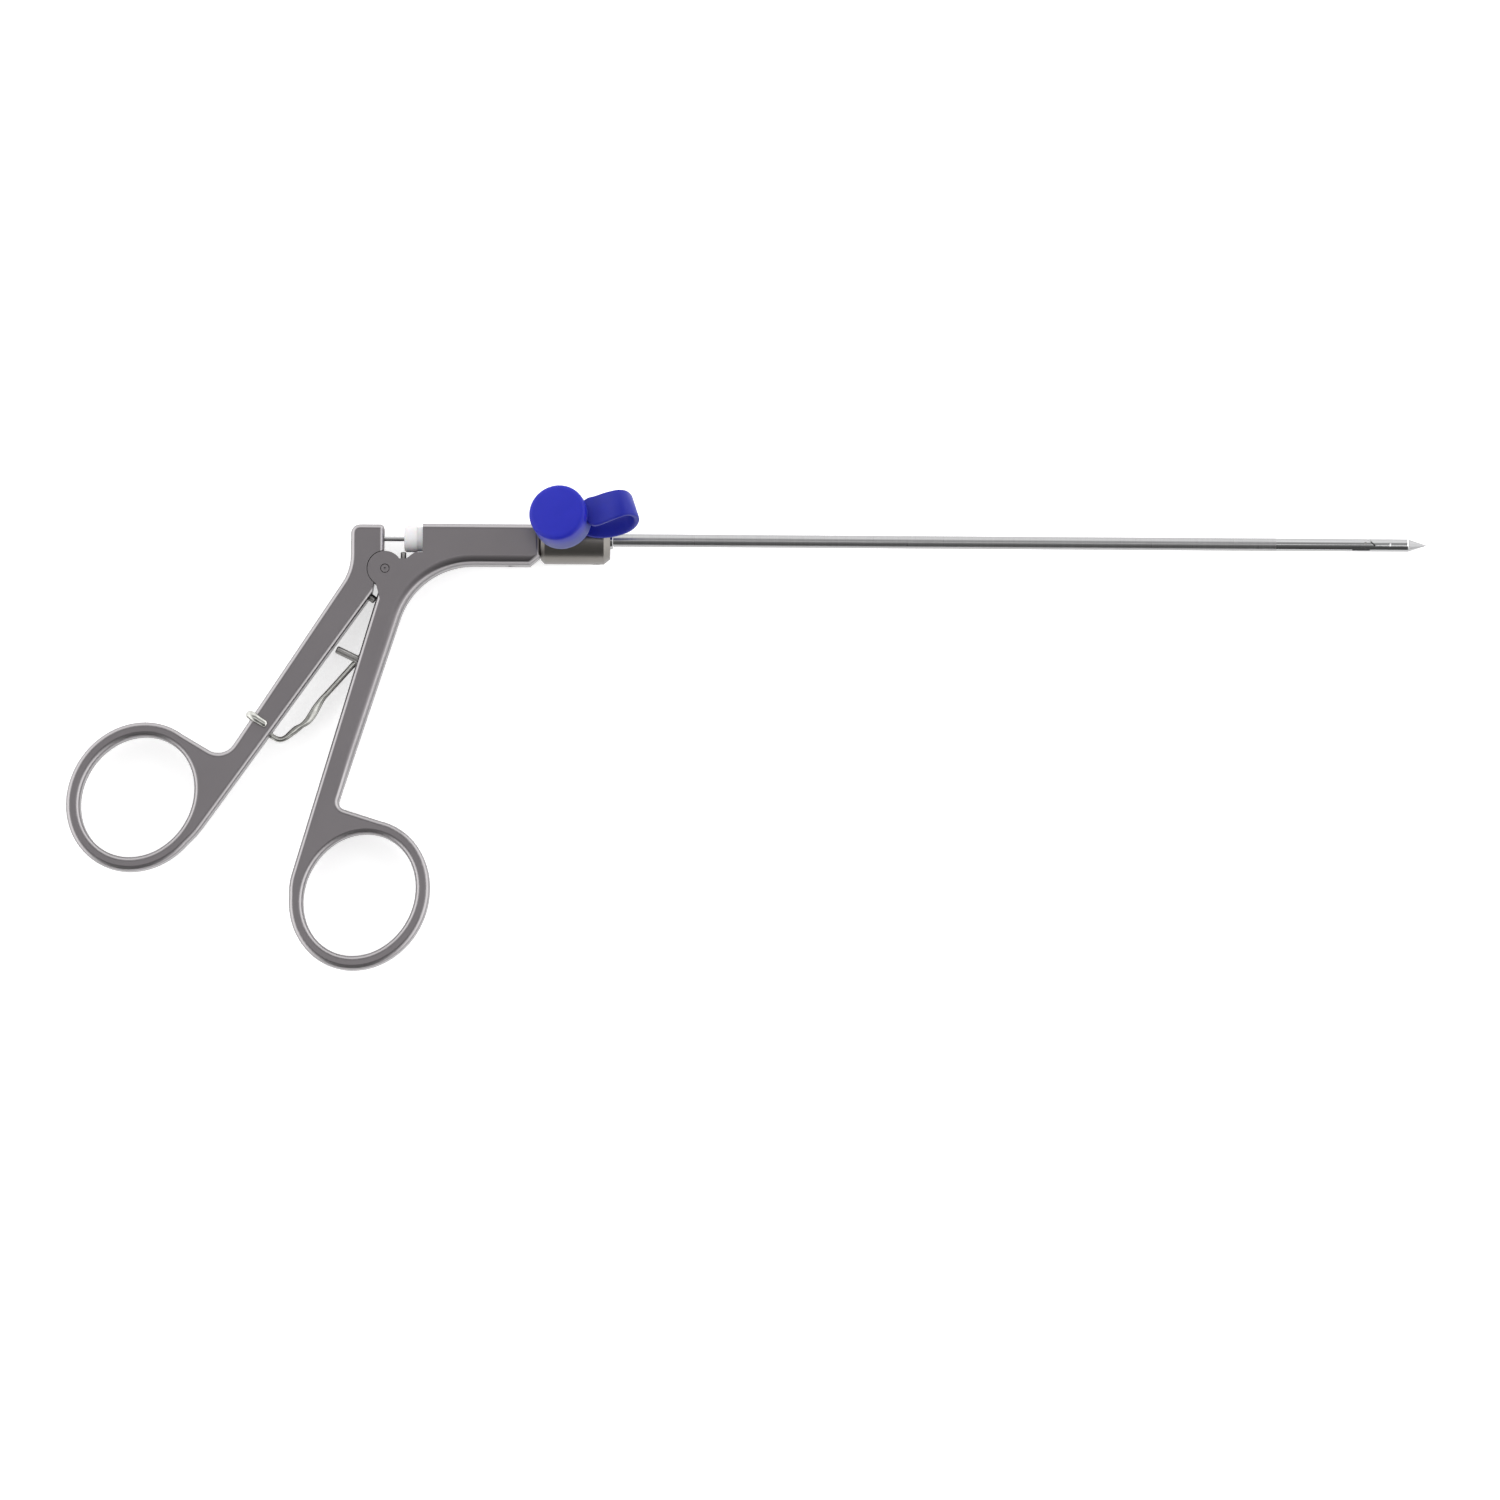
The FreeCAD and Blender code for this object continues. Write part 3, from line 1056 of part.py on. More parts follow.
def make_closing_spring():
    """The bent wire: out of the front shank, through the rear shank and hooked over its face."""
    level = -value("wire_level")
    face = value("plate / 2 + wire_radius") + value("soft_gap")
    points = [
        V(-value("wire_root_x"), -value("wire_root_y"), level),
        V(-value("spring_knee_x"), -value("spring_knee_y"), level),
        V(-value("spring_bend_x"), -value("spring_bend_y"), level),
        V(-value("spring_foot_x"), -value("spring_foot_y"), level),
        V(-value("wire_entry_x"), -value("wire_entry_y"), level),
        V(-value("wire_exit_x"), -value("wire_exit_y"), level),
        V(-value("wire_exit_x"), -value("wire_exit_y"), face),
        V(-value("wire_end_x"), -value("wire_end_y"), face),
    ]
    thick = 2 * value("wire_radius")
    hook = value("wire_radius + 2 * run_gap")
    radii = [thick * 4, thick * 4, thick, thick, hook, hook]
    path = smooth_path(points, radii)
    along = (points[1] - points[0]).normalize()
    section = Part.Wire([Part.makeCircle(value("wire_radius"), points[0], along)])
    spring = doc.addObject("Part::Feature", "closing_spring")
    spring.Shape = path.makePipeShell([section], True, False)
    spring.Placement = FreeCAD.Placement(V(0, 0, 0), UPRIGHT)
    finished(spring, "closing_spring")


make_front_handle()
make_rear_handle()
make_pins()
make_set_screw("handle_screw", "barrel_screw_radius", "-barrel_screw_x", "barrel_low - screw_sink",
               "spigot_radius + fit_gap")
make_gland()
make_rod()
make_housing()
make_set_screw("tube_screw", "housing_screw_radius", "-housing_screw_x", "housing_radius - screw_sink",
               "collar_radius + fit_gap")
make_port()
make_tip()
make_closing_spring()
doc.recompute()

for item in doc.Objects:
    if "Invalid" in item.State or "Error" in item.State:
        raise ValueError(item.Name + " is " + ", ".join(item.State))
for item in SUBPARTS:
    if item.Shape.isNull() or not item.Shape.isValid():
        raise ValueError(item.Label + " has no valid shape")

os.makedirs("parts", exist_ok=True)
for item in SUBPARTS:
    item.Shape.exportStep("parts/" + item.Label + ".step")
    print(item.Label, len(item.Shape.Solids), round(item.Shape.Volume, 2))
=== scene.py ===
import json
import math

import bpy
from mathutils import Matrix, Vector


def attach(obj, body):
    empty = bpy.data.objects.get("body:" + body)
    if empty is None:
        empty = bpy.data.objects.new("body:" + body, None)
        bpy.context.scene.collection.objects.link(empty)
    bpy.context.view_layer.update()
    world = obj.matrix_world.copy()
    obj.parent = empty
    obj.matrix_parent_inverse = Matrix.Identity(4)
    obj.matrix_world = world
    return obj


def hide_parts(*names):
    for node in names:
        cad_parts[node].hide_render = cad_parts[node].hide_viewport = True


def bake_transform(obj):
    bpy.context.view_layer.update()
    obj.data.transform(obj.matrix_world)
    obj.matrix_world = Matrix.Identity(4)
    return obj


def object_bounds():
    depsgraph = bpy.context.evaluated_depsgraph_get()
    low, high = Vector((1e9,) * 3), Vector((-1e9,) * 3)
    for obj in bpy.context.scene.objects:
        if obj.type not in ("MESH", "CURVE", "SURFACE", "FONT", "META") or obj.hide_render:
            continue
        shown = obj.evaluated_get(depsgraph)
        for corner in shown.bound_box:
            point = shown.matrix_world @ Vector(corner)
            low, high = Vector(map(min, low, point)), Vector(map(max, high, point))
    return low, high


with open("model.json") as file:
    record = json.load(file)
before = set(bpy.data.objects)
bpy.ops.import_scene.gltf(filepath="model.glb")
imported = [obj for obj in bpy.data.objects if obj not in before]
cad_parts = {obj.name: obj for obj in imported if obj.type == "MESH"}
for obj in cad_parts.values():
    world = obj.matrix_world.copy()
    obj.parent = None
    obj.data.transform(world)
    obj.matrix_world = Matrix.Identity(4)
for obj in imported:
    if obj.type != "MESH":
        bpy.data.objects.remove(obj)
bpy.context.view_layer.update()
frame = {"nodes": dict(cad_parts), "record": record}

MM = 0.001
scene = bpy.context.scene

# The picture is a square that looks down at the instrument: its side in pixels, the size of a pixel in the
# object's plane, the pixel of the frame's origin, the turn and tilt of the view, and the camera's distance.
PICTURE = 1500
PIXEL = 0.2088 * MM
ORIGIN_PIXEL = (613.4, 540.1)
ROLL = math.atan(0.00658)
TILT = math.radians(4.0)
CAMERA_DISTANCE = 2.2
SENSOR = 36.0


def point_at(column, row, height=0.0):
    """The place in the object's frame that a pixel of the photograph shows at a height."""
    across = (column - ORIGIN_PIXEL[0]) * PIXEL
    down = (row - ORIGIN_PIXEL[1]) * PIXEL
    x = across * math.cos(ROLL) + down * math.sin(ROLL)
    y = across * math.sin(ROLL) - down * math.cos(ROLL)
    return Vector((x, y / math.cos(TILT) - height * math.tan(TILT), height))


def make_camera():
    """A long lens that looks down, a little from the side of the rings."""
    data = bpy.data.cameras.new("camera")
    data.sensor_width = SENSOR
    data.lens = SENSOR * CAMERA_DISTANCE / (PICTURE * PIXEL)
    camera = bpy.data.objects.new("camera", data)
    scene.collection.objects.link(camera)
    target = point_at(PICTURE / 2, PICTURE / 2)
    back = Vector((0, -math.sin(TILT), math.cos(TILT)))
    right = Vector((math.cos(ROLL), math.sin(ROLL), 0))
    up = back.cross(right).normalized()
    right = up.cross(back).normalized()
    turn = Matrix((right, up, back)).transposed()
    camera.matrix_world = Matrix.Translation(target + back * CAMERA_DISTANCE) @ turn.to_4x4()
    scene.camera = camera


make_camera()

WHITE = (1, 1, 1, 1)

# The sockets of a colour mix: its share, its two colours and its result.
MIX_SHARE = 0
MIX_FIRST = 6
MIX_SECOND = 7
MIX_RESULT = 2


def shader_of(material):
    """The one shader of a material."""
    return material.node_tree.nodes["Principled BSDF"]


def new_material(name, **sockets):
    """A material with one shader, its plain values set by socket name."""
    material = bpy.data.materials.new(name)
    material.use_nodes = True
    for socket, amount in sockets.items():
        shader_of(material).inputs[socket.replace("_", " ")].default_value = amount
    return material


def add(material, kind, **settings):
    """A new node with its settings."""
    node = material.node_tree.nodes.new(kind)
    for name, setting in settings.items():
        setattr(node, name, setting)
    return node


def join(material, start, end):
    """Leads the output of one node to the input of another."""
    material.node_tree.links.new(start, end)


def feed(material, socket, term):
    """Gives an input either the output of another node or a plain value."""
    if isinstance(term, bpy.types.NodeSocket):
        join(material, term, socket)
    else:
        socket.default_value = term


def calculate(material, operation, *terms):
    """A number worked out from others, each a plain one or the output of another node."""
    node = add(material, "ShaderNodeMath", operation=operation)
    for socket, term in zip(node.inputs, terms):
        feed(material, socket, term)
    return node.outputs["Value"]


def combine(material, operation, result, *terms):
    """A vector or a value worked out from vectors, each a plain one or the output of another node."""
    node = add(material, "ShaderNodeVectorMath", operation=operation)
    for socket, term in zip(node.inputs, terms):
        feed(material, socket, term)
    return node.outputs[result]


def slope(material, source, start, end, low=0.0, high=1.0, soft=False):
    """A number that goes from one level to another while a source goes from start to end."""
    kind = "SMOOTHSTEP" if soft else "LINEAR"
    node = add(material, "ShaderNodeMapRange", interpolation_type=kind)
    for socket, amount in (("From Min", start), ("From Max", end), ("To Min", low), ("To Max", high)):
        node.inputs[socket].default_value = amount
    join(material, source, node.inputs["Value"])
    return node.outputs["Result"]


def mix_colours(material, share, first, second):
    """A colour between two others, each a plain one or the output of another node."""
    mix = add(material, "ShaderNodeMix", data_type="RGBA")
    join(material, share, mix.inputs[MIX_SHARE])
    feed(material, mix.inputs[MIX_FIRST], first)
    feed(material, mix.inputs[MIX_SECOND], second)
    return mix.outputs[MIX_RESULT]


def vary(material, source, socket, low, high):
    """Lets a value swing between two levels with a pattern."""
    join(material, slope(material, source, 0.0, 1.0, low, high), shader_of(material).inputs[socket])


def paint(material, colour):
    """Leads a colour to the shader."""
    join(material, colour, shader_of(material).inputs["Base Color"])


def tint(material, source, dark, light):
    """Lets the colour swing between two tones with a pattern."""
    tone = mix_colours(material, source, (*dark, 1), (*light, 1))
    paint(material, tone)
    return tone


def roughen(material, source, strength, distance, under=None):
    """A small relief from a pattern, on top of another relief where there is one."""
    bump = add(material, "ShaderNodeBump")
    bump.inputs["Strength"].default_value = strength
    bump.inputs["Distance"].default_value = distance
    join(material, source, bump.inputs["Height"])
    if under:
        join(material, under, bump.inputs["Normal"])
    join(material, bump.outputs["Normal"], shader_of(material).inputs["Normal"])
    return bump.outputs["Normal"]


def place_in(material):
    """A point's place in the object's own frame."""
    return add(material, "ShaderNodeTexCoord").outputs["Object"]


def parts_of(material, vector):
    """The three numbers of a vector, by their letters."""
    parts = add(material, "ShaderNodeSeparateXYZ")
    join(material, vector, parts.inputs["Vector"])
    return parts.outputs


def pattern(material, scale, detail=2.0, stretch=(1, 1, 1)):
    """Noise in the object's own frame; the scale is in waves per metre."""
    mapping = add(material, "ShaderNodeMapping")
    mapping.inputs["Scale"].default_value = stretch
    noise = add(material, "ShaderNodeTexNoise")
    noise.inputs["Scale"].default_value = scale
    noise.inputs["Detail"].default_value = detail
    join(material, place_in(material), mapping.inputs["Vector"])
    join(material, mapping.outputs["Vector"], noise.inputs["Vector"])
    return noise.outputs["Fac"]


# The upright part of a forging's normal: on a flat face, at the rounding's upper and lower end, between which
# the painted highlight is full, and on a side.
FACE_NORMAL = 0.995
EDGE_NORMAL = 0.93
FOOT_NORMAL = 0.78
SIDE_NORMAL = 0.30


def highlight_on_roundings(material):
    """Where the highlight is painted: one on the roundings along the edges of a flat forging, none on its
    faces and sides.
    """
    normal = add(material, "ShaderNodeTexCoord").outputs["Normal"]
    upright = calculate(material, "ABSOLUTE", parts_of(material, normal)["Z"])
    off_face = slope(material, upright, FACE_NORMAL, EDGE_NORMAL, soft=True)
    off_side = slope(material, upright, SIDE_NORMAL, FOOT_NORMAL, soft=True)
    return calculate(material, "MULTIPLY", off_face, off_side)


def blasted_steel(name, dark, light, edge=None, shape=None):
    """Bead-blasted steel: even grey with a fine grain and faint clouds, with a painted highlight along its
    rounded edges.
    """
    material = new_material(name, Metallic=1.0)
    clouds = pattern(material, scale=70.0, detail=3.0)
    grain = pattern(material, scale=5200.0)
    plain = tint(material, clouds, dark, light)
    if edge:
        # Painted highlight: the roundings take the lighter edge tone, in place of the bright surroundings
        # that they reflect.
        paint(material, mix_colours(material, highlight_on_roundings(material), plain, (*edge, 1)))
    vary(material, grain, "Roughness", low=0.27, high=0.38)
    under = shape(material) if shape else None
    roughen(material, grain, strength=0.15, distance=0.03 * MM, under=under)
    return material


# The wide rounding under the barrel and along the front shank: the middle and radius of the curve between
# them, both directions from there, the rounding's width, its depth in millimetres, how steeply it falls off,
# and where it fades out on the shank.
NECK_MIDDLE = Vector((-29.20, -21.55, 0.0)) * MM
NECK_RADIUS = 16.0 * MM
ALONG_BARREL = Vector((1, 0, 0))
DOWN_SHANK = Vector((-0.3087, -0.9512, 0.0))
ROUNDING_WIDTH = 2.3 * MM
ROUNDING_DEPTH = 0.75
ROUNDING_POWER = 2.0
ROUNDING_FADES = 30.0 * MM
ROUNDING_ENDS = 41.0 * MM


def reach_along(material, place, way):
    """How far a place lies ahead in a direction, none when it lies behind."""
    return calculate(material, "MAXIMUM", combine(material, "DOT_PRODUCT", "Value", place, way), 0.0)


def stretch_along(material, way, reach):
    """A vector in a direction with a reach."""
    node = add(material, "ShaderNodeVectorMath", operation="SCALE")
    node.inputs["Vector"].default_value = way
    join(material, reach, node.inputs["Scale"])
    return node.outputs["Vector"]


def wide_rounding(material):
    """The forged edge that falls off more slowly than the others, as a relief by the distance from it."""
    flat = combine(material, "MULTIPLY", "Vector", place_in(material), (1, 1, 0))
    offset = combine(material, "SUBTRACT", "Vector", flat, NECK_MIDDLE)
    level = reach_along(material, offset, ALONG_BARREL)
    down = reach_along(material, offset, DOWN_SHANK)
    bare = offset
    for way, reach in ((ALONG_BARREL, level), (DOWN_SHANK, down)):
        bare = combine(material, "SUBTRACT", "Vector", bare, stretch_along(material, way, reach))
    length = combine(material, "LENGTH", "Value", bare)
    near = slope(material, length, NECK_RADIUS + ROUNDING_WIDTH, NECK_RADIUS)
    fall = calculate(material, "POWER", near, ROUNDING_POWER)
    fade = slope(material, down, ROUNDING_FADES, ROUNDING_ENDS, low=-ROUNDING_DEPTH, high=0.0, soft=True)
    height = calculate(material, "MULTIPLY", fall, fade)
    return roughen(material, height, strength=1.0, distance=MM)


def matt_tube():
    """Drawn tube with fine rings around it."""
    material = new_material("matt_tube", Metallic=1.0)
    rings = pattern(material, scale=900.0, stretch=(6.0, 0.3, 0.3))
    tint(material, rings, dark=(0.33, 0.328, 0.332), light=(0.41, 0.408, 0.412))
    vary(material, rings, "Roughness", low=0.25, high=0.34)
    roughen(material, rings, strength=0.08, distance=0.02 * MM)
    return material


# The gaps around the closed jaw: middle and half width of the one behind the point, along X, and of the
# slanted one at the heel, along X plus Y, then the level of the jaw's seat and the painted shade of the gaps'
# walls.
NOSE_GAP = (166.1 * MM, 0.25 * MM)
HEEL_GAP = (158.95 * MM, 0.16 * MM)
JAW_SEAT = -0.3 * MM
GAP_SHADE_TONE = (0.015, 0.015, 0.015, 1)


def shaded_gap_walls(material):
    """One on the walls of the gaps around the jaw, where shade is painted, none elsewhere."""
    parts = parts_of(material, place_in(material))
    slant = calculate(material, "ADD", parts["X"], parts["Y"])
    nose = calculate(material, "COMPARE", parts["X"], *NOSE_GAP)
    heel = calculate(material, "COMPARE", slant, *HEEL_GAP)
    either = calculate(material, "MAXIMUM", nose, heel)
    above = calculate(material, "GREATER_THAN", parts["Y"], JAW_SEAT)
    return calculate(material, "MULTIPLY", either, above)


def polished_steel():
    """Polished steel with long fine streaks, and painted shade on the walls of the narrow gaps of the tip."""
    material = new_material("polished_steel", Metallic=1.0)
    streaks = pattern(material, scale=900.0, stretch=(0.05, 1.0, 1.0))
    bright = tint(material, streaks, dark=(0.36, 0.36, 0.365), light=(0.42, 0.42, 0.425))
    vary(material, streaks, "Roughness", low=0.10, high=0.15)
    # Painted shade: the walls of the narrow gaps around the jaw are darkened almost to black.
    paint(material, mix_colours(material, shaded_gap_walls(material), bright, GAP_SHADE_TONE))
    return material


def pin_steel():
    """Turned pins: a darker tone and a fine uneven grain."""
    material = new_material("pin_steel", Metallic=1.0)
    grain = pattern(material, scale=1500.0)
    tint(material, grain, dark=(0.27, 0.263, 0.256), light=(0.37, 0.362, 0.354))
    vary(material, grain, "Roughness", low=0.26, high=0.40)
    roughen(material, grain, strength=0.12, distance=0.03 * MM)
    return material


def bright_wire():
    """Bright spring wire, spotted light and dark."""
    material = new_material("spring_steel", Metallic=1.0)
    spots = pattern(material, scale=1400.0)
    tint(material, spots, dark=(0.30, 0.30, 0.28), light=(0.66, 0.66, 0.625))
    vary(material, spots, "Roughness", low=0.10, high=0.18)
    return material


def white_polymer():
    """Waxy white plastic that lets a little light in."""
    material = new_material("white_polymer", Subsurface_Weight=0.15, Subsurface_Scale=MM)
    clouds = pattern(material, scale=600.0)
    tint(material, clouds, dark=(0.68, 0.67, 0.68), light=(0.76, 0.75, 0.76))
    vary(material, clouds, "Roughness", low=0.40, high=0.52)
    return material


def blue_silicone(name, dark, light, source=None):
    """Soft blue silicone, clouded, or shaded from dark to light by a source."""
    material = new_material(name, Specular_IOR_Level=0.28, Subsurface_Weight=0.2, Subsurface_Scale=MM)
    clouds = pattern(material, scale=300.0)
    tint(material, source(material) if source else clouds, dark, light)
    vary(material, clouds, "Roughness", low=0.42, high=0.55)
    roughen(material, pattern(material, scale=2500.0), strength=0.08, distance=0.04 * MM)
    return material


# The flushing port's axis, and heights along it in millimetres, counted from the tube's axis: the port's top,
# the lower and upper end of the cap's wall, and the height below which the wall is at its lightest. The wall
# starts at a distance from the axis.
PORT = [mount for mount in frame["record"]["mounts"] if mount["name"] == "luer_port"][0]
PORT_AXIS = Vector(PORT["axis"]).normalized()
PORT_TOP = 16.6
PORT_FOOT = Vector(PORT["pos_m"]) - PORT_AXIS * PORT_TOP * MM
CAP_WALL_LOW = 12.15
CAP_WALL_HIGH = 18.2
CAP_WALL_LIGHTEST = 13.75
CAP_WALL_FROM = 5.9


def wall_light(material):
    """From none at the cap's face to full near its rim, where the thin wall lets light through."""
    offset = combine(material, "SUBTRACT", "Vector", place_in(material), PORT_FOOT)
    height = combine(material, "DOT_PRODUCT", "Value", offset, PORT_AXIS)
    return slope(material, height, CAP_WALL_HIGH * MM, CAP_WALL_LIGHTEST * MM, soft=True)


def black_rubber():
    """Matt black sealing rubber."""
    material = new_material("black_rubber")
    grain = pattern(material, scale=2500.0)
    tint(material, grain, dark=(0.010, 0.010, 0.010), light=(0.022, 0.022, 0.022))
    vary(material, grain, "Roughness", low=0.55, high=0.70)
    return material


# The tones of the handles' steel: the darker and lighter clouds, and the painted highlight on the rounded
# edges.
SATIN_DARK = (0.178, 0.166, 0.173)
SATIN_LIGHT = (0.212, 0.198, 0.206)
SATIN_EDGE_HIGHLIGHT = (0.35, 0.335, 0.342)
MATERIALS = {
    "satin_steel": blasted_steel("satin_steel", SATIN_DARK, SATIN_LIGHT, SATIN_EDGE_HIGHLIGHT),
    "front_steel": blasted_steel("front_steel", SATIN_DARK, SATIN_LIGHT, SATIN_EDGE_HIGHLIGHT, wide_rounding),
    "housing_steel": blasted_steel("housing_steel", (0.185, 0.175, 0.162), (0.225, 0.213, 0.198)),
    "matt_tube": matt_tube(),
    "polished_steel": polished_steel(),
    "pin_steel": pin_steel(),
    "spring_steel": bright_wire(),
    "white_polymer": white_polymer(),
    "blue_silicone": blue_silicone("blue_silicone", (0.006, 0.010, 0.34), (0.011, 0.015, 0.40)),
    "blue_band": blue_silicone("blue_band", (0.004, 0.009, 0.25), (0.008, 0.014, 0.32)),
    "blue_wall": blue_silicone("blue_wall", (0.009, 0.013, 0.37), (0.060, 0.074, 0.27), wall_light),
    "black_rubber": black_rubber(),
}
NODE_SLOTS = {part["node"]: part["material_slot"] for part in frame["record"]["subparts"]}

# Nodes whose finish differs from the others of their slot.
OWN_FINISH = {"front_handle": "front_steel", "connector_housing": "housing_steel", "pivot_pin": "satin_steel"}


def dress(thing, finish):
    """Gives a piece its finish."""
    thing.data.materials.clear()
    thing.data.materials.append(MATERIALS[finish])


for node, thing in frame["nodes"].items():
    dress(thing, OWN_FINISH.get(node, NODE_SLOTS[node]))


def new_piece(name, points, faces, slot_name, body=None):
    """A smooth mesh with its finish and the body that it moves with."""
    mesh = bpy.data.meshes.new(name)
    mesh.from_pydata([tuple(point) for point in points], [], faces)
    mesh.validate()
    mesh.shade_smooth()
    piece = bpy.data.objects.new(name, mesh)
    scene.collection.objects.link(piece)
    dress(piece, slot_name)
    if body:
        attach(piece, body)
    return piece


def smooth_run(keys, steps):
    """Rows on a smooth curve through the keys, with a number of steps from key to key."""
    rows = []
    for i in range(len(keys) - 1):
        a = keys[max(i - 1, 0)]
        b = keys[i]
        c = keys[i + 1]
        d = keys[min(i + 2, len(keys) - 1)]
        for step in range(steps):
            t = step / steps
            row = []
            for p, q, r, s in zip(a, b, c, d):
                curve = (2 * p - 5 * q + 4 * r - s) * t * t + (3 * q - p - 3 * r + s) * t ** 3
                row.append(0.5 * (2 * q + (r - p) * t + curve))
            rows.append(row)
    rows.append(list(keys[-1]))
    return rows


def skin(rings):
    """The points and faces of a body along equal closed rings, with a flat face at each end."""
    count = len(rings[0])
    points = [point for ring in rings for point in ring]
    faces = []
    for i in range(len(rings) - 1):
        for j in range(count):
            k = (j + 1) % count
            faces.append((i * count + j, i * count + k, (i + 1) * count + k, (i + 1) * count + j))
    faces.append(tuple(reversed(range(count))))
    last = (len(rings) - 1) * count
    faces.append(tuple(range(last, last + count)))
    return points, faces


# The closing spring, traced from the photograph: column, row, height, half width, half thickness and
# squareness of the wire, the heights and half sizes in millimetres and the squareness as a share.
WIRE_LEVEL = -1.5
WIRE_TOP = 4.2
WIRE = 0.62
SPRING_KEYS = (
    (361.5, 655.0, WIRE_LEVEL, WIRE, WIRE, 0.0),
    (354.4, 662.8, WIRE_LEVEL, WIRE, WIRE, 0.0),
    (340.0, 678.8, WIRE_LEVEL, WIRE, WIRE, 0.0),
    (327.0, 693.2, WIRE_LEVEL, WIRE, WIRE, 0.0),
    (322.0, 698.8, WIRE_LEVEL, 0.66, 0.54, 0.3),
    (316.5, 707.0, WIRE_LEVEL, 0.84, 0.42, 1.0),
    (312.0, 714.5, WIRE_LEVEL, 0.88, 0.40, 1.0),
    (307.6, 720.6, WIRE_LEVEL, 0.80, 0.44, 0.9),
    (301.5, 725.6, WIRE_LEVEL, 0.62, 0.58, 0.4),
    (296.0, 729.3, WIRE_LEVEL, 0.78, 0.50, 0.7),
    (290.5, 733.6, WIRE_LEVEL, 0.70, 0.56, 0.3),
    (285.0, 738.0, WIRE_LEVEL, WIRE, WIRE, 0.0),
    (279.4, 739.6, WIRE_LEVEL, WIRE, WIRE, 0.0),
    (273.8, 737.6, WIRE_LEVEL, WIRE, WIRE, 0.0),
    (268.4, 733.6, WIRE_LEVEL, WIRE, WIRE, 0.0),
    (255.0, 721.5, WIRE_LEVEL, WIRE, WIRE, 0.0),
    (250.6, 716.6, WIRE_LEVEL + 0.7, 0.72, 0.66, 0.0),
    (249.4, 714.8, WIRE_LEVEL + 2.4, 0.84, 0.72, 0.0),
    (250.6, 714.6, WIRE_TOP - 0.7, 0.92, 0.74, 0.0),
    (254.2, 716.6, WIRE_TOP, 0.94, 0.74, 0.0),
    (260.0, 720.4, WIRE_TOP, 0.90, 0.74, 0.0),
    (265.6, 723.8, WIRE_TOP, 0.82, 0.70, 0.0),
    (267.4, 724.8, WIRE_TOP, 0.55, 0.50, 0.0),
)
SPRING_STEPS = 5
WIRE_SIDES = 16

# How far a fully pressed wire departs from round.
SQUARING = 0.45


def bent_wire(places, rows):
    """Rings along the wire's run: round at both ends, pressed flat with plain facets where it was bent."""
    rings = []
    side = None
    for i, place in enumerate(places):
        along = (places[min(i + 1, len(places) - 1)] - places[max(i - 1, 0)]).normalized()
        if side is None:
            side = along.cross(Vector((0, 0, 1))).normalized()
        side = (side - along * side.dot(along)).normalized()
        up = side.cross(along)
        wide, high, square = rows[i][3:]
        power = 1.0 - SQUARING * min(max(square, 0.0), 1.0)
        ring = []
        for j in range(WIRE_SIDES):
            angle = 2 * math.pi * j / WIRE_SIDES
            c = math.cos(angle)
            s = math.sin(angle)
            c = math.copysign(abs(c) ** power, c)
            s = math.copysign(abs(s) ** power, s)
            ring.append(place + (side * wide * c + up * high * s) * MM)
        rings.append(ring)
    return rings


def make_spring():
    """The closing spring, held by the front handle and hooked over the rear one."""
    rows = smooth_run(SPRING_KEYS, SPRING_STEPS)
    places = [point_at(column, row, height * MM) for column, row, height, wide, high, square in rows]
    spring = new_piece("closing_spring_wire", *skin(bent_wire(places, rows)), "spring_steel")
    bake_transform(spring)
    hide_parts("closing_spring")


make_spring()

# The turn from upright to the port's axis, the strap's direction around that axis, the number of sides of a
# turned piece, and the angle from which the edge between two faces is sharp.
PORT_TURN = Vector((0, 0, 1)).rotation_difference(PORT_AXIS).to_matrix()
STRAP_TURN = Matrix.Rotation(math.radians(10.0), 3, "Z")
LATHE_SIDES = 96
SHARP_ANGLE = math.radians(35.0)


def on_port(out, aside, height):
    """A place by its distance from the port's axis along the strap, beside the strap and along the axis."""
    return PORT_FOOT + PORT_TURN @ (STRAP_TURN @ (Vector((out, aside, height)) * MM))


def lathe(name, profile, slot_name, body, solid=False):
    """A turned piece around the port's axis from a profile of radii and heights; a solid one is closed by two
    flat ends, an open one by joining its last point to its first."""
    points = []
    faces = []
    count = len(profile)
    for i in range(LATHE_SIDES):
        angle = 2 * math.pi * i / LATHE_SIDES
        for radius, height in profile:
            points.append(on_port(radius * math.cos(angle), radius * math.sin(angle), height))
    for i in range(LATHE_SIDES):
        k = (i + 1) % LATHE_SIDES
        for j in range(count - 1 if solid else count):
            m = (j + 1) % count
            faces.append((i * count + j, k * count + j, k * count + m, i * count + m))
    if solid:
        faces.append(tuple(i * count for i in reversed(range(LATHE_SIDES))))
        faces.append(tuple(i * count + count - 1 for i in range(LATHE_SIDES)))
    piece = new_piece(name, points, faces, slot_name, body)
    piece.data.set_sharp_from_angle(angle=SHARP_ANGLE)
    return piece


# Radii and heights of the cap, from the edge of its face round the rim to the plug, and of the eyelet.
CAP_PROFILE = (
    (4.95, 18.86), (5.30, 18.82), (5.62, 18.70), (5.86, 18.48), (5.98, 18.18), (6.01, 17.85),
    (6.02, 17.4), (6.04, 15.5), (6.08, 13.3), (6.08, 12.45), (5.98, 12.2), (5.76, 12.10), (4.6, 12.10),
    (4.3, 12.3), (4.16, 12.6), (4.15, 15.2), (4.15, 16.7), (3.9, 16.9), (2.0, 16.9), (1.8, 16.7),
    (1.78, 14.0), (1.5, 13.72),
)
EYELET_PROFILE = (
    (2.68, 7.0), (2.85, 6.90), (3.65, 6.90), (3.86, 7.02), (3.95, 7.3), (3.95, 8.0), (3.86, 8.28),
    (3.65, 8.40), (2.85, 8.40), (2.68, 8.3),
)


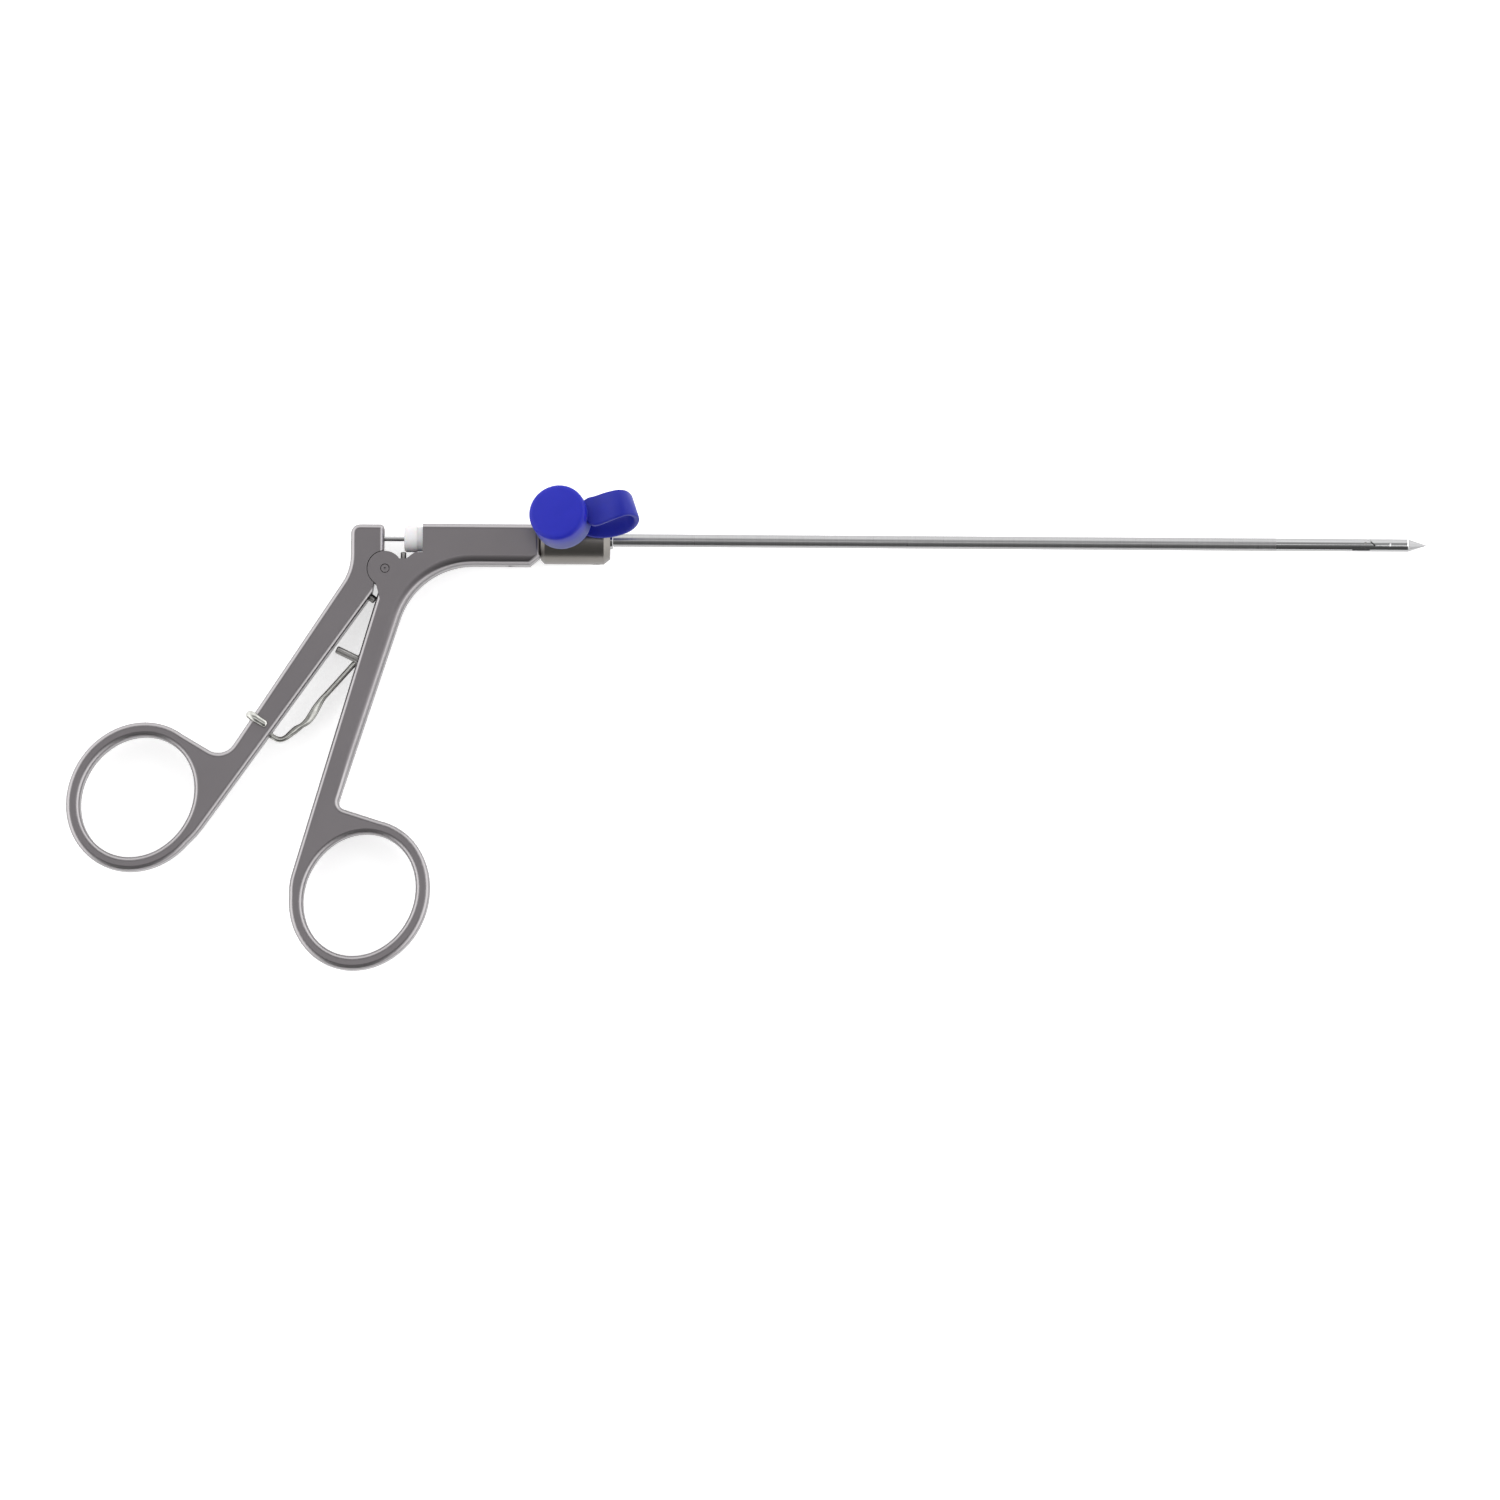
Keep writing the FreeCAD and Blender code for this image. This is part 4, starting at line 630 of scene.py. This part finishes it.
def make_cap():
    """The moulded cap: rounded edge, a wall that is lighter towards its rim, hollow with a plug inside."""
    cap = lathe("sealing_cap_shell", CAP_PROFILE, "blue_silicone", "cap", solid=True)
    cap.data.materials.append(MATERIALS["blue_wall"])
    for face in cap.data.polygons:
        spot = face.center - PORT_FOOT
        height = spot.dot(PORT_AXIS) / MM
        radius = (spot - PORT_AXIS * height * MM).length / MM
        if radius > CAP_WALL_FROM and CAP_WALL_LOW < height < CAP_WALL_HIGH:
            face.material_index = 1
    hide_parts("sealing_cap")


def make_eyelet():
    """The strap's ring around the port's neck."""
    eyelet = lathe("strap_eyelet", EYELET_PROFILE, "blue_silicone", "fixed_handle")
    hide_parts("strap_ring")


make_cap()
make_eyelet()

# The strap's middle line: distance from the port's axis, height along it, offset beside it, half width,
# half thickness and how far the near edge runs ahead of the far one, in millimetres.
STRAP_KEYS = (
    (5.6, 15.35, -0.1, 2.5, 0.85, 0.0),
    (6.6, 15.35, -0.3, 3.1, 0.75, 0.0),
    (8.0, 15.5, -0.35, 3.2, 0.60, 0.1),
    (10.0, 16.1, -0.25, 3.15, 0.58, 0.2),
    (12.0, 16.7, -0.25, 3.05, 0.56, 0.3),
    (13.6, 16.6, -0.15, 2.9, 0.55, 0.6),
    (14.75, 15.1, -0.1, 2.85, 0.55, 0.9),
    (15.05, 12.7, -0.25, 2.8, 0.55, 0.9),
    (14.3, 10.3, -0.55, 2.75, 0.55, 0.6),
    (12.8, 8.6, -0.95, 2.7, 0.55, 0.2),
    (10.6, 7.8, -1.15, 2.65, 0.55, 0.0),
    (8.0, 7.6, -1.1, 2.6, 0.56, 0.0),
    (5.6, 7.65, -0.7, 2.5, 0.60, 0.0),
    (3.6, 7.65, -0.3, 2.0, 0.62, 0.0),
)
STRAP_STEPS = 6

# The rounding of the strap's edges in millimetres, its largest share of the half thickness and how far its
# middle point is set in.
STRAP_EDGE = 0.35
STRAP_EDGE_SHARE = 0.9
STRAP_EDGE_INSET = 0.3


def strap_outline(wide, thick):
    """The outline of the flat band with soft edges, as offsets aside and up, from one edge round."""
    soft = min(STRAP_EDGE, thick * STRAP_EDGE_SHARE)
    inset = soft * STRAP_EDGE_INSET
    corner = [(wide - soft, thick), (wide - inset, thick - inset), (wide, thick - soft)]
    under = [(side, -lift) for side, lift in reversed(corner)]
    outline = corner + under + [(0, -thick)]
    outline += [(-side, lift) for side, lift in reversed(under)]
    outline += [(-side, lift) for side, lift in reversed(corner)] + [(0, thick)]
    return outline


def make_strap():
    """The flat strap from the cap round to the eyelet, with a slight twist."""
    rows = smooth_run(STRAP_KEYS, STRAP_STEPS)
    rings = []
    for i, (out, height, aside, wide, thick, lead) in enumerate(rows):
        before = rows[max(i - 1, 0)]
        after = rows[min(i + 1, len(rows) - 1)]
        along = Vector((after[0] - before[0], after[1] - before[1])).normalized()
        ring = []
        for side, lift in strap_outline(wide, thick):
            shift = -lead * side / wide / 2
            ring.append(on_port(out - along.y * lift + shift, aside + side, height + along.x * lift))
        rings.append(ring)
    strap = new_piece("cap_strap_band", *skin(rings), "blue_silicone")
    dress(strap, "blue_band")
    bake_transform(strap)
    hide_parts("cap_strap")


make_strap()

# The floor: its side and middle in metres, its tone, and how much of white its background adds.
FLOOR_SIDE = 3.0
FLOOR_MIDDLE = (0.03, -0.04)
FLOOR_TONE = (0.85, 0.85, 0.85, 1)
FLOOR_GLOW = 0.55


def background_rays(material):
    """One for the rays that show the background: from the camera, off metal and through glass."""
    rays = add(material, "ShaderNodeLightPath").outputs
    straight = calculate(material, "MAXIMUM", rays["Is Camera Ray"], rays["Is Transmission Ray"])
    return calculate(material, "MAXIMUM", straight, rays["Is Glossy Ray"])


def make_floor():
    """A plain pale floor under the instrument, which keeps its soft shadow."""
    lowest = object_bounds()[0].z
    bpy.ops.mesh.primitive_plane_add(size=FLOOR_SIDE, location=(*FLOOR_MIDDLE, lowest))
    floor = bpy.context.object
    floor.name = "floor"
    material = new_material("floor", Roughness=0.9, Base_Color=FLOOR_TONE)
    glow = add(material, "ShaderNodeEmission")
    level = calculate(material, "MULTIPLY", background_rays(material), FLOOR_GLOW)
    join(material, level, glow.inputs["Strength"])
    both = add(material, "ShaderNodeAddShader")
    join(material, shader_of(material).outputs[0], both.inputs[0])
    join(material, glow.outputs[0], both.inputs[1])
    join(material, both.outputs[0], material.node_tree.nodes["Material Output"].inputs["Surface"])
    floor.data.materials.append(material)


# The surroundings: brightness by the direction around X, in degrees from overhead towards +Y.
SKY = (
    (-180.0, 0.40),
    (-120.0, 0.35),
    (-90.0, 0.18),
    (-70.0, 0.13),
    (-45.0, 0.14),
    (-20.0, 0.27),
    (0.0, 0.46),
    (25.0, 0.56),
    (42.0, 0.82),
    (56.0, 1.55),
    (105.0, 1.75),
    (130.0, 0.60),
    (180.0, 0.40),
)

# The bright walls past both ends of the instrument, and the X part of a direction from which they begin and
# from which they are full.
END_WALL = (2.1, 2.1, 2.1, 1)
END_WALL_FROM = 0.30
END_WALL_FULL = 0.82


def sky_ramp(world, angle):
    """The brightness of the surroundings for an angle around X."""
    share = slope(world, angle, -math.pi, math.pi)
    ramp = add(world, "ShaderNodeValToRGB")
    stops = ramp.color_ramp.elements
    while len(stops) < len(SKY):
        # Every stop gets its own place below.
        stops.new(0.5)
    for stop, (degrees, level) in zip(stops, SKY):
        stop.position = (degrees + 180.0) / 360.0
        stop.color = (level, level, level, 1)
    join(world, share, ramp.inputs["Fac"])
    return ramp.outputs["Color"]


def make_world():
    """Soft surroundings, dark towards the rings and bright on the far side; the camera sees white."""
    world = bpy.data.worlds.new("world")
    world.use_nodes = True
    scene.world = world
    parts = parts_of(world, add(world, "ShaderNodeTexCoord").outputs["Generated"])
    sky = sky_ramp(world, calculate(world, "ARCTAN2", parts["Y"], parts["Z"]))
    sideways = calculate(world, "ABSOLUTE", parts["X"])
    wall = slope(world, sideways, END_WALL_FROM, END_WALL_FULL, soft=True)
    walled = mix_colours(world, wall, sky, END_WALL)
    rays = add(world, "ShaderNodeLightPath")
    colour = mix_colours(world, rays.outputs["Is Camera Ray"], walled, WHITE)
    join(world, colour, world.node_tree.nodes["Background"].inputs["Color"])


# The lamps: name, place, the point that they face, width and height in metres, and strength.
LAMPS = (
    ("key", (0.03, 0.78, 0.56), (0.03, -0.03, 0.0), 1.4, 0.40, 0.6),
    ("strip", (0.03, 0.0, 2.7), (0.03, 0.0, 0.0), 2.4, 0.55, 4.5),
)


def make_lamp(name, place, target, width, height, energy):
    """A soft rectangular lamp that faces a point."""
    data = bpy.data.lights.new(name, "AREA")
    data.shape = "RECTANGLE"
    data.size = width
    data.size_y = height
    data.energy = energy
    lamp = bpy.data.objects.new(name, data)
    lamp.location = place
    way = Vector(target) - Vector(place)
    lamp.rotation_mode = "QUATERNION"
    lamp.rotation_quaternion = way.to_track_quat("-Z", "Y")
    scene.collection.objects.link(lamp)


make_floor()
make_world()
for lamp_values in LAMPS:
    make_lamp(*lamp_values)

scene.view_settings.view_transform = "Standard"
